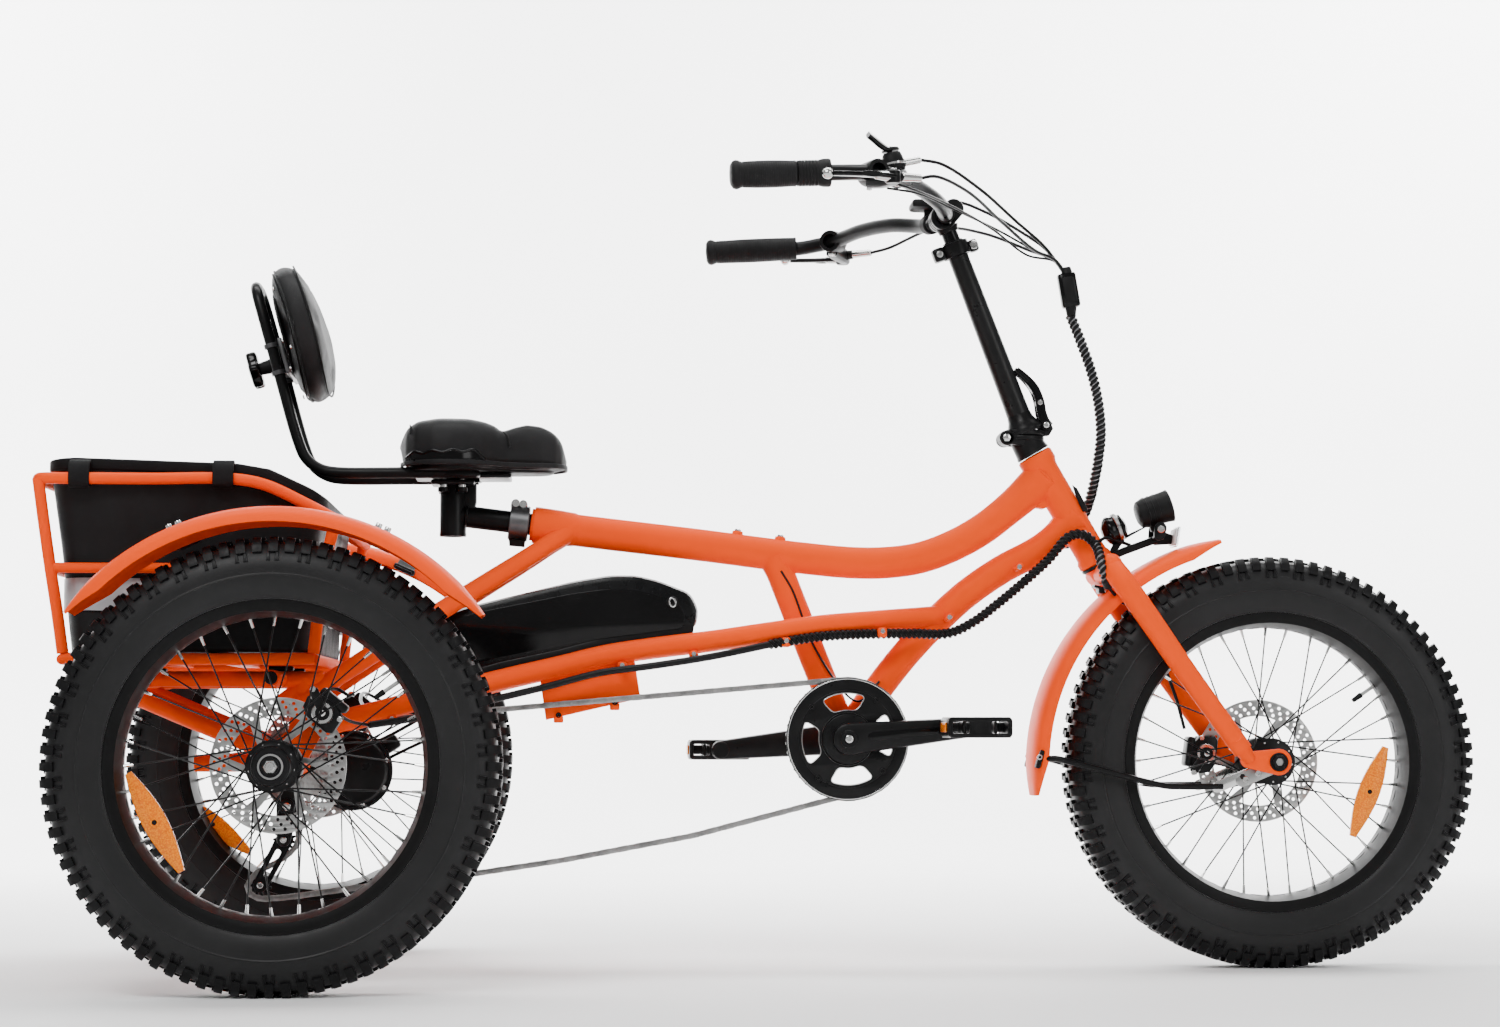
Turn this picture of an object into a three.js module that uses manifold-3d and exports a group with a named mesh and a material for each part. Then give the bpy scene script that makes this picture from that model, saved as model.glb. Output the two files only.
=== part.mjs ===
// Electric adult tricycle with fat tyres, a folding handlepost, a sliding saddle with backrest
// and a rear basket. Millimetres, +Z up, +X forward, the rider's right side is -Y.
// The origin is on the ground, at the middle of the tricycle's length and width.

import * as THREE from 'three';
import { mergeVertices } from 'three/addons/utils/BufferGeometryUtils.js';
import Module from 'manifold-3d';

const wasm = await Module();
wasm.setup();

// ---------------------------------------------------------------- driving dimensions

const gap = 0.3;
const tyreRadius = 297;
const wheelbase = 1400;
const halfTrack = 395;
const basketOverhang = 335;
const rotorRadius = 90;
const rotorInnerRadius = 22.5;
const rotorOffset = 60;
const frontRotorY = 58;

const frontAxleX = (wheelbase + basketOverhang - tyreRadius) / 2;
const rearAxleX = frontAxleX - wheelbase;
const axleZ = tyreRadius;

const steerLean = THREE.MathUtils.degToRad(30);
const headBase = new THREE.Vector3(471.5, 0, 585);
const headTubeLength = 182;
const headTubeRadius = 23;
const steererRadius = 14.3;

const mainTubeRadius = 21;
const downTubeRadius = 20;
const seatTubeRadius = 20;
const railRadius = 14.5;
const stayRadius = 13.5;
const carrierTubeRadius = 11;

const crankCentre = new THREE.Vector3(100, 0, 330);
const crankLength = 175;
const crankAngle = THREE.MathUtils.degToRad(5.5);
const chainPlaneY = -50;
const chainringRadius = 85;
const cassetteCentre = new THREE.Vector3(-605, chainPlaneY, 285);
const cassetteChainRadius = 50;

const housingRadius = 22;
const shaftRadius = 12;
const bearingClearance = 1;
const housingInnerY = 80.5;
const housingOuterY = 318;
const carrierHalfWidth = 110;

const postHinge = new THREE.Vector3(336, 0, 767);
const postBase = new THREE.Vector3(365, 0, 784);
const postLean = THREE.MathUtils.degToRad(20.7);
const postLength = 292;
const postRadius = 17;
const riserRadius = 12;

const gripHalfSpan = 333;
const barRadius = 11;

const seatSlope = THREE.MathUtils.degToRad(6.8);
const seatPostAxis = new THREE.Vector3(-353, 0, 639);
const backrestLean = THREE.MathUtils.degToRad(16);

const basketHalfWidth = 290;
const basketTubeRadius = 8;

// ---------------------------------------------------------------- finishes

const finishes = {
  paint: { color: 0xff5408, roughness: 0.3, metalness: 0.0 },
  blackMetal: { color: 0x191a1b, roughness: 0.4, metalness: 0.3 },
  blackPlastic: { color: 0x1c1c1d, roughness: 0.5, metalness: 0.0 },
  glossPlastic: { color: 0x101011, roughness: 0.15, metalness: 0.0 },
  rubber: { color: 0x2c2d2e, roughness: 0.75, metalness: 0.0 },
  leather: { color: 0x2b2b2c, roughness: 0.55, metalness: 0.0 },
  fabric: { color: 0x1f2021, roughness: 0.9, metalness: 0.0 },
  steel: { color: 0xa9abab, roughness: 0.35, metalness: 1.0 },
  alloy: { color: 0x9b9c9e, roughness: 0.45, metalness: 0.8 },
  lamp: { color: 0x222326, roughness: 0.3, metalness: 0.1 },
};

// ---------------------------------------------------------------- solid helpers

const vec = (x, y, z) => new THREE.Vector3(x, y, z);

function isInsideOut(geometry) {
  const position = geometry.attributes.position;
  const index = geometry.index.array;
  const corner = [vec(0, 0, 0), vec(0, 0, 0), vec(0, 0, 0)];
  let volume = 0;
  for (let i = 0; i < index.length; i += 3) {
    corner.forEach((point, k) => point.fromBufferAttribute(position, index[i + k]));
    volume += corner[0].dot(corner[1].cross(corner[2]));
  }
  return volume < 0;
}

function solid(geometry) {
  const bare = geometry.clone();
  bare.deleteAttribute('normal');
  bare.deleteAttribute('uv');
  const merged = mergeVertices(bare, 1e-3);
  const triVerts = new Uint32Array(merged.index.array);
  if (isInsideOut(merged)) {
    triVerts.reverse();
  }
  const vertProperties = new Float32Array(merged.attributes.position.array);
  const mesh = new wasm.Mesh({ numProp: 3, vertProperties, triVerts });
  mesh.merge();
  return new wasm.Manifold(mesh);
}

// Faces split by a cut, and slivers finer than the tolerance, are merged again.
const meshTolerance = 0.2;

function geometryOf(manifold) {
  const mesh = manifold.asOriginal().simplify(meshTolerance).getMesh();
  const geometry = new THREE.BufferGeometry();
  geometry.setAttribute('position', new THREE.BufferAttribute(mesh.vertProperties, 3));
  geometry.setIndex(new THREE.BufferAttribute(mesh.triVerts, 1));
  geometry.computeVertexNormals();
  return geometry;
}

const join = (...solids) => solids.reduce((whole, piece) => whole.add(piece));

const cut = (body, ...tools) => tools.reduce((left, tool) => left.subtract(tool), body);

// After a cut, the piece that is kept is the largest one.
function largest(manifold) {
  const pieces = manifold.decompose();
  return pieces.reduce((best, piece) => (piece.volume() > best.volume() ? piece : best));
}

function place(geometry, position, direction = vec(0, 1, 0)) {
  const turn = new THREE.Quaternion().setFromUnitVectors(vec(0, 1, 0), direction.clone().normalize());
  return geometry.applyQuaternion(turn).translate(position.x, position.y, position.z);
}

// A straight round bar from a to b, tapering from radius to endRadius.
function rod(a, b, radius, endRadius = radius, sides = 8) {
  const along = b.clone().sub(a);
  const geometry = new THREE.CylinderGeometry(endRadius, radius, along.length(), sides);
  return solid(place(geometry, a.clone().add(b).multiplyScalar(0.5), along));
}

// A round disc or bar about an axis parallel to Y.
const axial = (x, z, y0, y1, radius, sides = 14) =>
  rod(vec(x, y0, z), vec(x, y1, z), radius, radius, sides);

function ringShape(radius, sides) {
  const shape = new THREE.Shape();
  for (let i = 0; i < sides; i += 1) {
    const angle = (i / sides) * 2 * Math.PI;
    const move = i === 0 ? 'moveTo' : 'lineTo';
    shape[move](radius * Math.cos(angle), radius * Math.sin(angle));
  }
  shape.closePath();
  return shape;
}

function tube(points, radius, steps, sides = 8) {
  const extrudePath = new THREE.CatmullRomCurve3(points, false, 'centripetal');
  const settings = { steps, bevelEnabled: false, extrudePath };
  return solid(new THREE.ExtrudeGeometry(ringShape(radius, sides), settings));
}

// Straight bars that run a little past each other at their shared ends, as a welded tube.
function bentTube(points, radius, sides = 6) {
  const pieces = [];
  for (let i = 1; i < points.length; i += 1) {
    const along = points[i].clone().sub(points[i - 1]).setLength(radius * 0.6);
    pieces.push(rod(points[i - 1].clone().sub(along), points[i].clone().add(along), radius, radius, sides));
  }
  return join(...pieces);
}

// An outline in the XZ plane, with the thickness running from y0 to y1.
function plate(outline, y0, y1, holes = []) {
  const shape = new THREE.Shape(outline.map(([x, z]) => new THREE.Vector2(x, z)));
  for (const hole of holes) {
    shape.holes.push(new THREE.Path(hole.map(([x, z]) => new THREE.Vector2(x, z))));
  }
  const geometry = new THREE.ExtrudeGeometry(shape, { depth: y1 - y0, bevelEnabled: false });
  return solid(geometry.rotateX(Math.PI / 2).translate(0, y1, 0));
}

function circleOutline(x, z, radius, count = 16, from = 0, to = 2 * Math.PI) {
  const closed = to - from >= 2 * Math.PI;
  const divisions = closed ? count : count - 1;
  return Array.from({ length: count }, (_, i) => {
    const angle = from + ((to - from) * i) / divisions;
    return [x + radius * Math.cos(angle), z + radius * Math.sin(angle)];
  });
}

// A long link with round ends, from one XZ point to another.
function link([x0, z0], [x1, z1], radius, y0, y1, endRadius = radius) {
  const angle = Math.atan2(z1 - z0, x1 - x0);
  const quarter = Math.PI / 2;
  return plate([
    ...circleOutline(x0, z0, radius, 6, angle + quarter, angle + 3 * quarter),
    ...circleOutline(x1, z1, endRadius, 6, angle - quarter, angle + quarter),
  ], y0, y1);
}

function box(x0, x1, y0, y1, z0, z1) {
  const geometry = new THREE.BoxGeometry(x1 - x0, y1 - y0, z1 - z0);
  return solid(geometry.translate((x0 + x1) / 2, (y0 + y1) / 2, (z0 + z1) / 2));
}

// A profile of [radius, y] points turned about an axis parallel to Y.
function turned(profile, x, y, z, segments = 32) {
  const points = profile.map(([radius, height]) => new THREE.Vector2(radius, height));
  return solid(new THREE.LatheGeometry(points, segments).translate(x, y, z));
}

const mirrorY = (manifold) => manifold.mirror([0, 1, 0]);

const group = new THREE.Group();

function add(name, manifold, finish) {
  const mesh = new THREE.Mesh(geometryOf(manifold), new THREE.MeshStandardMaterial(finishes[finish]));
  mesh.name = name;
  group.add(mesh);
}

// ---------------------------------------------------------------- main frame

const steerUp = vec(-Math.sin(steerLean), 0, Math.cos(steerLean));
const onSteerAxis = (distance) => headBase.clone().addScaledVector(steerUp, distance);

// A bore that a round post turns or slides in is this much larger than the post.
const boreClearance = 0.9;

const headTubeBlank = (extra) => rod(
  onSteerAxis(-extra), onSteerAxis(headTubeLength + extra), headTubeRadius + extra,
  headTubeRadius + extra, 16,
);
const headBoreRadius = steererRadius + boreClearance;
const headBore = rod(
  onSteerAxis(-9), onSteerAxis(headTubeLength + 9), headBoreRadius, headBoreRadius, 16,
);

const mainTubeLine = [
  vec(-353, 0, 639), vec(-289, 0, 631), vec(-108, 0, 610), vec(37, 0, 592), vec(118, 0, 585),
  vec(169, 0, 586), vec(213, 0, 593), vec(257, 0, 609), vec(301, 0, 633), vec(345, 0, 667),
  vec(398, 0, 714),
];
const mainTubeBlank = (extra) => tube(mainTubeLine, mainTubeRadius + extra, 14, 10);
const seatAxisDirection = vec(-Math.cos(seatSlope), 0, Math.sin(seatSlope));
const seatPostRadius = 16;
const seatBoreRadius = seatPostRadius + boreClearance;
const seatLine = (distance) => seatPostAxis.clone().addScaledVector(seatAxisDirection, distance);
const seatSleeve = (extra) => rod(
  seatLine(-10 + extra), seatLine(-66 - extra), 26 + extra, 26 + extra, 14,
);

function mainTube() {
  const bore = rod(seatLine(9), seatLine(-174), seatBoreRadius, seatBoreRadius, 14);
  return largest(cut(join(mainTubeBlank(0), seatSleeve(0)), headTubeBlank(gap), bore));
}

const downTubeLine = [
  vec(446, 0, 652), vec(389, 0, 607), vec(330, 0, 575), vec(278, 0, 539), vec(227, 0, 492),
  vec(183, 0, 444), vec(140, 0, 388), vec(104, 0, 336),
];
const downTubeBlank = (extra) => join(
  tube(downTubeLine, downTubeRadius + extra, 10, 10),
  axial(crankCentre.x, crankCentre.z, -36 - extra, 36 + extra, 22 + extra),
);
const spindleBore = axial(crankCentre.x, crankCentre.z, -40, 40, 13);
const seatTubeBlank = (extra) => rod(
  vec(4, 0, 592), vec(97, 0, 345), seatTubeRadius + extra, 18 + extra, 10,
);

const railLine = (side) => [
  vec(236, 8 * side, 507), vec(178, 24 * side, 503), vec(128, 38 * side, 499), vec(62, 46 * side, 493),
  vec(-10, 48 * side, 483), vec(-91, 50 * side, 471), vec(-179, 50 * side, 460), vec(-244, 50 * side, 450),
  vec(-310, 54 * side, 434), vec(-395, 66 * side, 414), vec(-526, 92 * side, 380),
  vec(-653, 108 * side, 346),
];
const stayLine = (side) => [
  vec(-312, 12 * side, 618), vec(-350, 30 * side, 594), vec(-440, 52 * side, 537),
  vec(-568, 90 * side, 453), vec(-672, carrierHalfWidth * side, 384),
];

// The cross plate joins the two rails and carries the battery dock.
const railCrossPlate = plate([[-128, 462], [-128, 468], [-330, 434], [-330, 428]], -50, 50);
const controllerBox = plate([[-340, 424], [-205, 452], [-195, 388], [-330, 357]], -46, 46);
const lowerRails = (extra) => join(
  tube(railLine(1), railRadius + extra, 11, 8),
  tube(railLine(-1), railRadius + extra, 11, 8),
);
const seatStays = (extra) => join(
  tube(stayLine(1), stayRadius + extra, 5, 8),
  tube(stayLine(-1), stayRadius + extra, 5, 8),
  rod(vec(-312, -14, 618), vec(-312, 14, 618), stayRadius + extra),
);

// ---------------------------------------------------------------- rear carrier and drive unit

const carrierZ = 414;
const carrierRearX = -960;
const carrierFrontX = -640;

function carrierSide(side, extra) {
  const y = carrierHalfWidth * side;
  const radius = carrierTubeRadius + extra;
  return join(
    rod(vec(carrierRearX, y, carrierZ), vec(carrierFrontX, y, carrierZ), radius, radius, 6),
    rod(vec(-668, y, carrierZ), vec(-679, y, axleZ), radius + 2, radius + 2, 6),
    rod(vec(-946, y, 410), vec(rearAxleX, y, axleZ + 4), radius + 3, radius + 3, 6),
    rod(vec(rearAxleX - 136, y, axleZ), vec(rearAxleX, y, axleZ), radius + 1, radius + 1, 6),
    axial(rearAxleX, axleZ, side * housingInnerY, side * housingOuterY, housingRadius + extra, 12),
  );
}

// The plate at the end of the axle housing holds the disc brake caliper.
function caliperPlate(side, extra = 0) {
  const innerFace = side > 0 ? 300 : -306;
  return link(
    [rearAxleX, axleZ], [-634, 357], 28 + extra, innerFace - extra, innerFace + 6 + extra, 16 + extra,
  );
}

const shaftBoreRadius = shaftRadius + bearingClearance;
const shaftBore = axial(rearAxleX, axleZ, -340, 340, shaftBoreRadius);

function rearCarrier(extra) {
  const radius = carrierTubeRadius + extra;
  const crossBar = (x) => rod(vec(x, -250, carrierZ), vec(x, 250, carrierZ), radius, radius, 6);
  const blank = join(
    carrierSide(1, extra), carrierSide(-1, extra), crossBar(-900), crossBar(-700),
    caliperPlate(1), caliperPlate(-1),
  );
  return cut(blank, shaftBore);
}

function rearCarrierWithStays() {
  const stays = cut(seatStays(0), mainTubeBlank(gap), seatSleeve(gap));
  return largest(cut(join(rearCarrier(0), stays), shaftBore));
}

const differentialRadius = 38;
const motorRadius = 52;
const cassetteBore = 9.5;
const shaftInnerY = 20;

function driveUnit() {
  const differential = axial(rearAxleX, axleZ, -30, 80, differentialRadius);
  const motor = axial(cassetteCentre.x, cassetteCentre.z, -26, 66, motorRadius, 20);
  const motorLip = axial(cassetteCentre.x, cassetteCentre.z, -14, -8, motorRadius + 5, 20);
  const cassetteBoss = axial(cassetteCentre.x, cassetteCentre.z, -70, -20, cassetteBore - 0.9, 12);
  const bores = [-1, 1].map((side) => axial(rearAxleX, axleZ, side * 17, side * 85, shaftBoreRadius));
  return cut(join(differential, motor, motorLip, cassetteBoss), ...bores);
}

// A stack of cogs, the largest next to the motor.
function cassette() {
  const profile = [
    [cassetteBore, -34], [58, -34], [58, -37], [45, -46], [45, -54], [28, -63], [cassetteBore, -63],
    [cassetteBore, -34],
  ];
  return turned(profile, cassetteCentre.x, 0, cassetteCentre.z, 20);
}

// ---------------------------------------------------------------- chain and derailleur

const guidePulley = [-697, 189];
const tensionPulley = [-730, 125];

function offsetLoop(points, distance) {
  return points.map(([x, z], i) => {
    const [px, pz] = points[(i + points.length - 1) % points.length];
    const [nx, nz] = points[(i + 1) % points.length];
    const length = Math.hypot(nx - px, nz - pz);
    return [x + (distance * (nz - pz)) / length, z - (distance * (nx - px)) / length];
  });
}

function chainWrap(centre, radius, count, fromDegrees, toDegrees) {
  const from = THREE.MathUtils.degToRad(fromDegrees);
  const to = THREE.MathUtils.degToRad(toDegrees);
  return circleOutline(centre.x, centre.z, radius, count, from, to);
}

function chain() {
  const centre = [
    ...chainWrap(crankCentre, chainringRadius, 14, -100, 96),
    ...chainWrap(cassetteCentre, cassetteChainRadius, 6, 95, 165),
    [-674, 212], [-677, 197], [-677, 186], [-684, 174], [-744, 140], [-750, 126], [-744, 111],
    [-729, 105], [-596, 121], [-437, 139], [-309, 158], [-120, 193],
  ];
  const halfHeight = 3.4;
  const halfWidth = 3.5;
  return plate(
    offsetLoop(centre, halfHeight), chainPlaneY - halfWidth, chainPlaneY + halfWidth,
    [offsetLoop(centre, -halfHeight)],
  );
}

function derailleur() {
  const pulleyRadius = 15;
  const pulleys = [guidePulley, tensionPulley].map(([x, z]) => join(
    axial(x, z, -53, -47, pulleyRadius, 12),
    axial(x, z, -64, -38, 4, 6),
  ));
  const outerCage = link(guidePulley, tensionPulley, 11, -64, -61);
  const innerCage = link(guidePulley, tensionPulley, 11, -41, -38);
  const arm = link([-692, 236], guidePulley, 10, -75, -61.5);
  const hanger = link([rearAxleX, axleZ], [-692, 236], 20, -80, -73, 10);
  const shaftRoom = axial(rearAxleX, axleZ, -82, -70, shaftRadius + 2);
  return cut(join(...pulleys, outerCage, innerCage, arm, hanger), shaftRoom);
}

// ---------------------------------------------------------------- crankset and pedals

const crankTip = (side) => vec(
  crankCentre.x - side * crankLength * Math.cos(crankAngle),
  0,
  crankCentre.z - side * crankLength * Math.sin(crankAngle),
);

// Side -1 is the right arm with the chainring and its guard, which points forward.
function rightCrank() {
  const tip = crankTip(-1);
  const { x, z } = crankCentre;
  const windows = Array.from({ length: 4 }, (_, i) => {
    const middle = crankAngle + Math.PI / 4 + (i * Math.PI) / 2;
    return axial(x + 52 * Math.cos(middle), z + 52 * Math.sin(middle), -70, -40, 19, 10);
  });
  const guard = axial(x, z, -60, -57, 88, 24);
  const ring = axial(x, z, -57.5, -48, chainringRadius - 5, 24);
  const disc = cut(join(guard, ring), ...windows);
  const arm = link([x, z], [tip.x, tip.z], 18, -84, -68, 12);
  const boss = axial(x, z, -86, -48, 20);
  const spindle = axial(x, z, -60, 46, 12, 16);
  return join(disc, arm, boss, spindle);
}

const leftArmY = 66;

function leftCrank() {
  const tip = crankTip(1);
  const { x, z } = crankCentre;
  const arm = link([x, z], [tip.x, tip.z], 17, leftArmY, leftArmY + 15, 12);
  const boss = axial(x, z, 46.5, leftArmY + 17, 19);
  return join(arm, boss);
}

function pedal(side) {
  const tip = crankTip(side);
  const innerY = side < 0 ? -84.5 : leftArmY + 15.5;
  const y0 = innerY + side * 10;
  const y1 = innerY + side * 100;
  const [low, high] = y0 < y1 ? [y0, y1] : [y1, y0];
  const frame = box(tip.x - 46, tip.x + 46, low, high, tip.z - 13, tip.z + 13);
  const slots = [-1, 1].map((end) => box(
    tip.x + end * 27 - 13, tip.x + end * 27 + 13, low + 8, high - 8, tip.z - 14, tip.z + 14,
  ));
  const axle = rod(vec(tip.x, innerY, tip.z), vec(tip.x, innerY + side * 60, tip.z), 7);
  const barrel = axial(tip.x, tip.z, low, high, 12, 10);
  return join(cut(frame, ...slots), axle, barrel);
}

// ---------------------------------------------------------------- wheels

const wheelSegments = 24;

function tyre(x, y) {
  const outer = [
    [206.5, -34], [244, -50], [280, -43], [tyreRadius, -12],
    [tyreRadius, 12], [280, 43], [244, 50], [206.5, 34],
  ];
  const inner = [[206.5, 28], [250, 43], [288, 0], [250, -43], [206.5, -28]];
  return turned([...outer, ...inner, outer[0]], x, y, axleZ, wheelSegments);
}

const rimProfile = [
  [216, 42.5], [216, 40], [205, 36], [199, 13], [199, -13], [205, -36], [216, -40], [216, -42.5],
  [202.5, -40], [195, -15], [195, 15], [202.5, 40], [216, 42.5],
];

// Spokes run from the hub flanges to the rim, leaning forward and back in turn. Twelve stout ones
// stand for the thirty-six of a real wheel.
function spokes(x, y, flangeY, flangeRadius) {
  const count = 12;
  return Array.from({ length: count }, (_, i) => {
    const side = i % 2 === 0 ? 1 : -1;
    const lean = i % 4 < 2 ? 1 : -1;
    const rimAngle = (i / count) * 2 * Math.PI;
    const hubAngle = rimAngle + lean * 1.1;
    const at = (radius, angle, offset) => vec(
      x + radius * Math.cos(angle), y + side * offset, axleZ + radius * Math.sin(angle),
    );
    return rod(at(flangeRadius, hubAngle, flangeY), at(197, rimAngle, 4), 2.4, 2.4, 4);
  });
}

function wheel(x, y, hubProfile) {
  const rim = turned(rimProfile, x, y, axleZ, wheelSegments);
  const hub = turned(hubProfile, x, y, axleZ, 12);
  return join(rim, hub, ...spokes(x, y, 32, 29));
}

const frontHubProfile = [
  [7, -56], [18, -56], [18, -36], [33, -35], [20, -27], [20, 27], [33, 35], [22, 36], [22, 55],
  [7, 55], [7, -56],
];

// The rear hub is fixed on its half shaft, which reaches in to the differential.
function rearHubProfile(side) {
  const innerEnd = shaftInnerY - halfTrack;
  const inboard = [
    [0, innerEnd], [shaftRadius, innerEnd], [shaftRadius, -59], [22, -59], [22, -35.5], [33, -35],
    [20, -27], [20, 27], [33, 34], [26, 52], [10, 53], [10, 62], [0, 62],
  ];
  return inboard.map(([radius, y]) => [radius, side * y]);
}

function rotor(x, y, innerRadius) {
  const windows = Array.from({ length: 6 }, (_, i) => {
    const middle = (i * Math.PI) / 3;
    const spread = 0.36;
    return [
      ...circleOutline(x, axleZ, 70, 3, middle - spread, middle + spread),
      ...circleOutline(x, axleZ, 42, 2, middle - spread, middle + spread).reverse(),
    ];
  });
  const outline = circleOutline(x, axleZ, rotorRadius, 24);
  const centre = circleOutline(x, axleZ, innerRadius, 12);
  return plate(outline, y - 1.2, y + 1.2, [centre, ...windows]);
}

// A block that straddles the rotor's edge, with a slot for the disc and a round adjuster.
function caliper(x, z, axleX, rotorY, armSide, clearances) {
  const block = link([x - 16, z + 16], [x + 16, z - 16], 17, rotorY - 16, rotorY + 16);
  const slot = axial(axleX, axleZ, rotorY - 3, rotorY + 3, rotorRadius + 3);
  const knobY = rotorY + armSide * 15;
  const knob = rod(vec(x, knobY, z), vec(x, knobY + armSide * 9, z), 14, 14, 12);
  return largest(cut(join(block, knob), slot, ...clearances));
}

// ---------------------------------------------------------------- fork, fender and lights

// A fork leg with the dropout that holds the axle's end.
function forkLeg(side, extra = 0) {
  const dropoutY = side > 0 ? 71 : -79;
  return join(
    tube([
      vec(481, 58 * side, 580), vec(496, 74 * side, 556), vec(580, 75 * side, 435),
      vec(668, 75 * side, 313),
    ], 16 + extra, 6, 8),
    link(
      [673, 306], [frontAxleX, axleZ], 14 + extra, dropoutY - extra, dropoutY + 8 + extra, 17 + extra,
    ),
  );
}

// The crown joins the two legs under the head tube, and its race turns against the tube's end.
function forkCrown(extra, raceTop) {
  const middle = onSteerAxis(-17);
  const across = vec(0, 62, 0);
  return join(
    rod(middle.clone().sub(across), middle.clone().add(across), 16 + extra, 16 + extra, 12),
    rod(onSteerAxis(-18 - extra), onSteerAxis(raceTop), 18 + extra, 22 + extra, 16),
  );
}

function fork() {
  const steererTop = onSteerAxis(headTubeLength + 6);
  const steerer = rod(onSteerAxis(-14), steererTop, steererRadius, steererRadius, 16);
  const axleBore = axial(frontAxleX, axleZ, -90, 90, 6.5);
  const rotorRoom = axial(frontAxleX, axleZ, 56, 66, rotorRadius + 3, 24);
  const blank = join(steerer, forkCrown(0, -gap * 2), forkLeg(1), forkLeg(-1));
  return cut(blank, axleBore, rotorRoom);
}

function frontAxle() {
  const shaft = axial(frontAxleX, axleZ, -84, 84, 6, 10);
  const spacers = [-1, 1].map((side) => axial(frontAxleX, axleZ, side * 58, side * 70.5, 11, 10));
  const nuts = [-1, 1].map((side) => axial(frontAxleX, axleZ, side * 79.5, side * 86, 10, 6));
  return join(shaft, ...spacers, ...nuts);
}

// A bent strip over the tyre: a channel turned about the wheel, kept between two angles.
function fender(x, y, z, radius, halfWidth, fromDegrees, toDegrees) {
  const channel = [
    [radius, -halfWidth + 14], [radius, halfWidth - 14], [radius - 27, halfWidth],
    [radius - 29, halfWidth - 2], [radius - 3, halfWidth - 16], [radius - 3, -halfWidth + 16],
    [radius - 29, -halfWidth + 2], [radius - 27, -halfWidth], [radius, -halfWidth + 14],
  ];
  const ring = turned(channel, x, y, z, 36);
  const from = THREE.MathUtils.degToRad(fromDegrees);
  const to = THREE.MathUtils.degToRad(toDegrees);
  const wedge = [[x, z], ...circleOutline(x, z, radius * 1.6, 12, from, to)];
  return ring.intersect(plate(wedge, y - 80, y + 80));
}

const fenderCentre = [frontAxleX - 12, axleZ - 8];

// Stay wires run from the fork ends to the fender's tail, one on each side.
function frontFender() {
  const shell = fender(fenderCentre[0], 0, fenderCentre[1], 338, 57, 101, 186);
  const stays = [-1, 1].map((side) => join(
    bentTube([
      vec(386, 50 * side, 300), vec(414, 60 * side, 303), vec(585, 66 * side, 246),
      vec(664, 66 * side, 262),
    ], 4.5),
    box(374, 392, side > 0 ? 46 : -58, side > 0 ? 58 : -46, 291, 309),
  ));
  const crownTab = box(478, 490, -8, 8, 538, 552);
  const legRoom = join(forkLeg(1, gap), forkLeg(-1, gap));
  return largest(cut(join(shell, ...stays, crownTab), legRoom, crownRoom()));
}

const crownRoom = () => forkCrown(gap, 0);

const lampPivot = vec(563, 0, 632);

// The bracket on the fork crown holds the horn and the headlight's pivot ears.
function lightBracket() {
  const arm = link([486, 588], [558, 620], 7, -9, 9);
  const ear = (innerY) => link([552, 618], [lampPivot.x, lampPivot.z], 7, innerY, innerY + 4);
  const hornArm = link([514, 604], [506, 622], 4, -8, -2);
  const horn = rod(vec(484, 0, 630), vec(514, 0, 641), 20, 20, 16);
  const reflectorArm = link([lampPivot.x, lampPivot.z], [581, 632], 4, -10, -6);
  const reflector = link([580, 636], [588, 612], 3, -24, 24);
  const lampRoom = axial(lampPivot.x, lampPivot.z, -5.6, 5.6, 8);
  const blank = join(arm, ear(6), ear(-10), hornArm, horn, reflectorArm, reflector);
  return largest(cut(blank, crownRoom(), headTubeBlank(1.5), lampRoom));
}

function headlight() {
  const tilt = THREE.MathUtils.degToRad(17);
  const forward = vec(Math.cos(tilt), 0, Math.sin(tilt));
  const centre = vec(555, 0, 663);
  const back = centre.clone().addScaledVector(forward, -25);
  const front = centre.clone().addScaledVector(forward, 25);
  const tongue = link([lampPivot.x, lampPivot.z], [558, 652], 5.5, -5, 5);
  return join(rod(back, front, 21, 25, 20), tongue);
}

// ---------------------------------------------------------------- folding handlepost

const postUp = vec(-Math.sin(postLean), 0, Math.cos(postLean));
const onPost = (distance) => postBase.clone().addScaledVector(postUp, distance);

// The base clamps on the steerer and carries the hinge knuckle behind and the catch in front.
function stemBase() {
  const cone = rod(onSteerAxis(headTubeLength + 2), vec(369, 0, 770), 24, 22, 14);
  const knuckle = link([postHinge.x, postHinge.z], [366, 766], 11, -22, 22, 13);
  const catchEar = link([372, 768], [394, 774], 6, -8, 8);
  const eyeRoom = join(
    axial(postHinge.x, postHinge.z, -12, 12, 13),
    link([postHinge.x, postHinge.z], [350, 781], 9, -12, 12),
  );
  const blank = join(cone, knuckle, catchEar);
  return largest(cut(blank, eyeRoom, steererRoom(), postPlaneRoom(), headTubeBlank(4 * gap)));
}

const steererRoom = () => rod(
  onSteerAxis(headTubeLength - 6), onSteerAxis(headTubeLength + 6 + gap),
  steererRadius + gap, steererRadius + gap, 16,
);

// Everything above the joint face belongs to the post.
const postJointZ = 771.6;
const postPlaneRoom = () => box(300, 460, -40, 40, postJointZ, 860);

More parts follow.
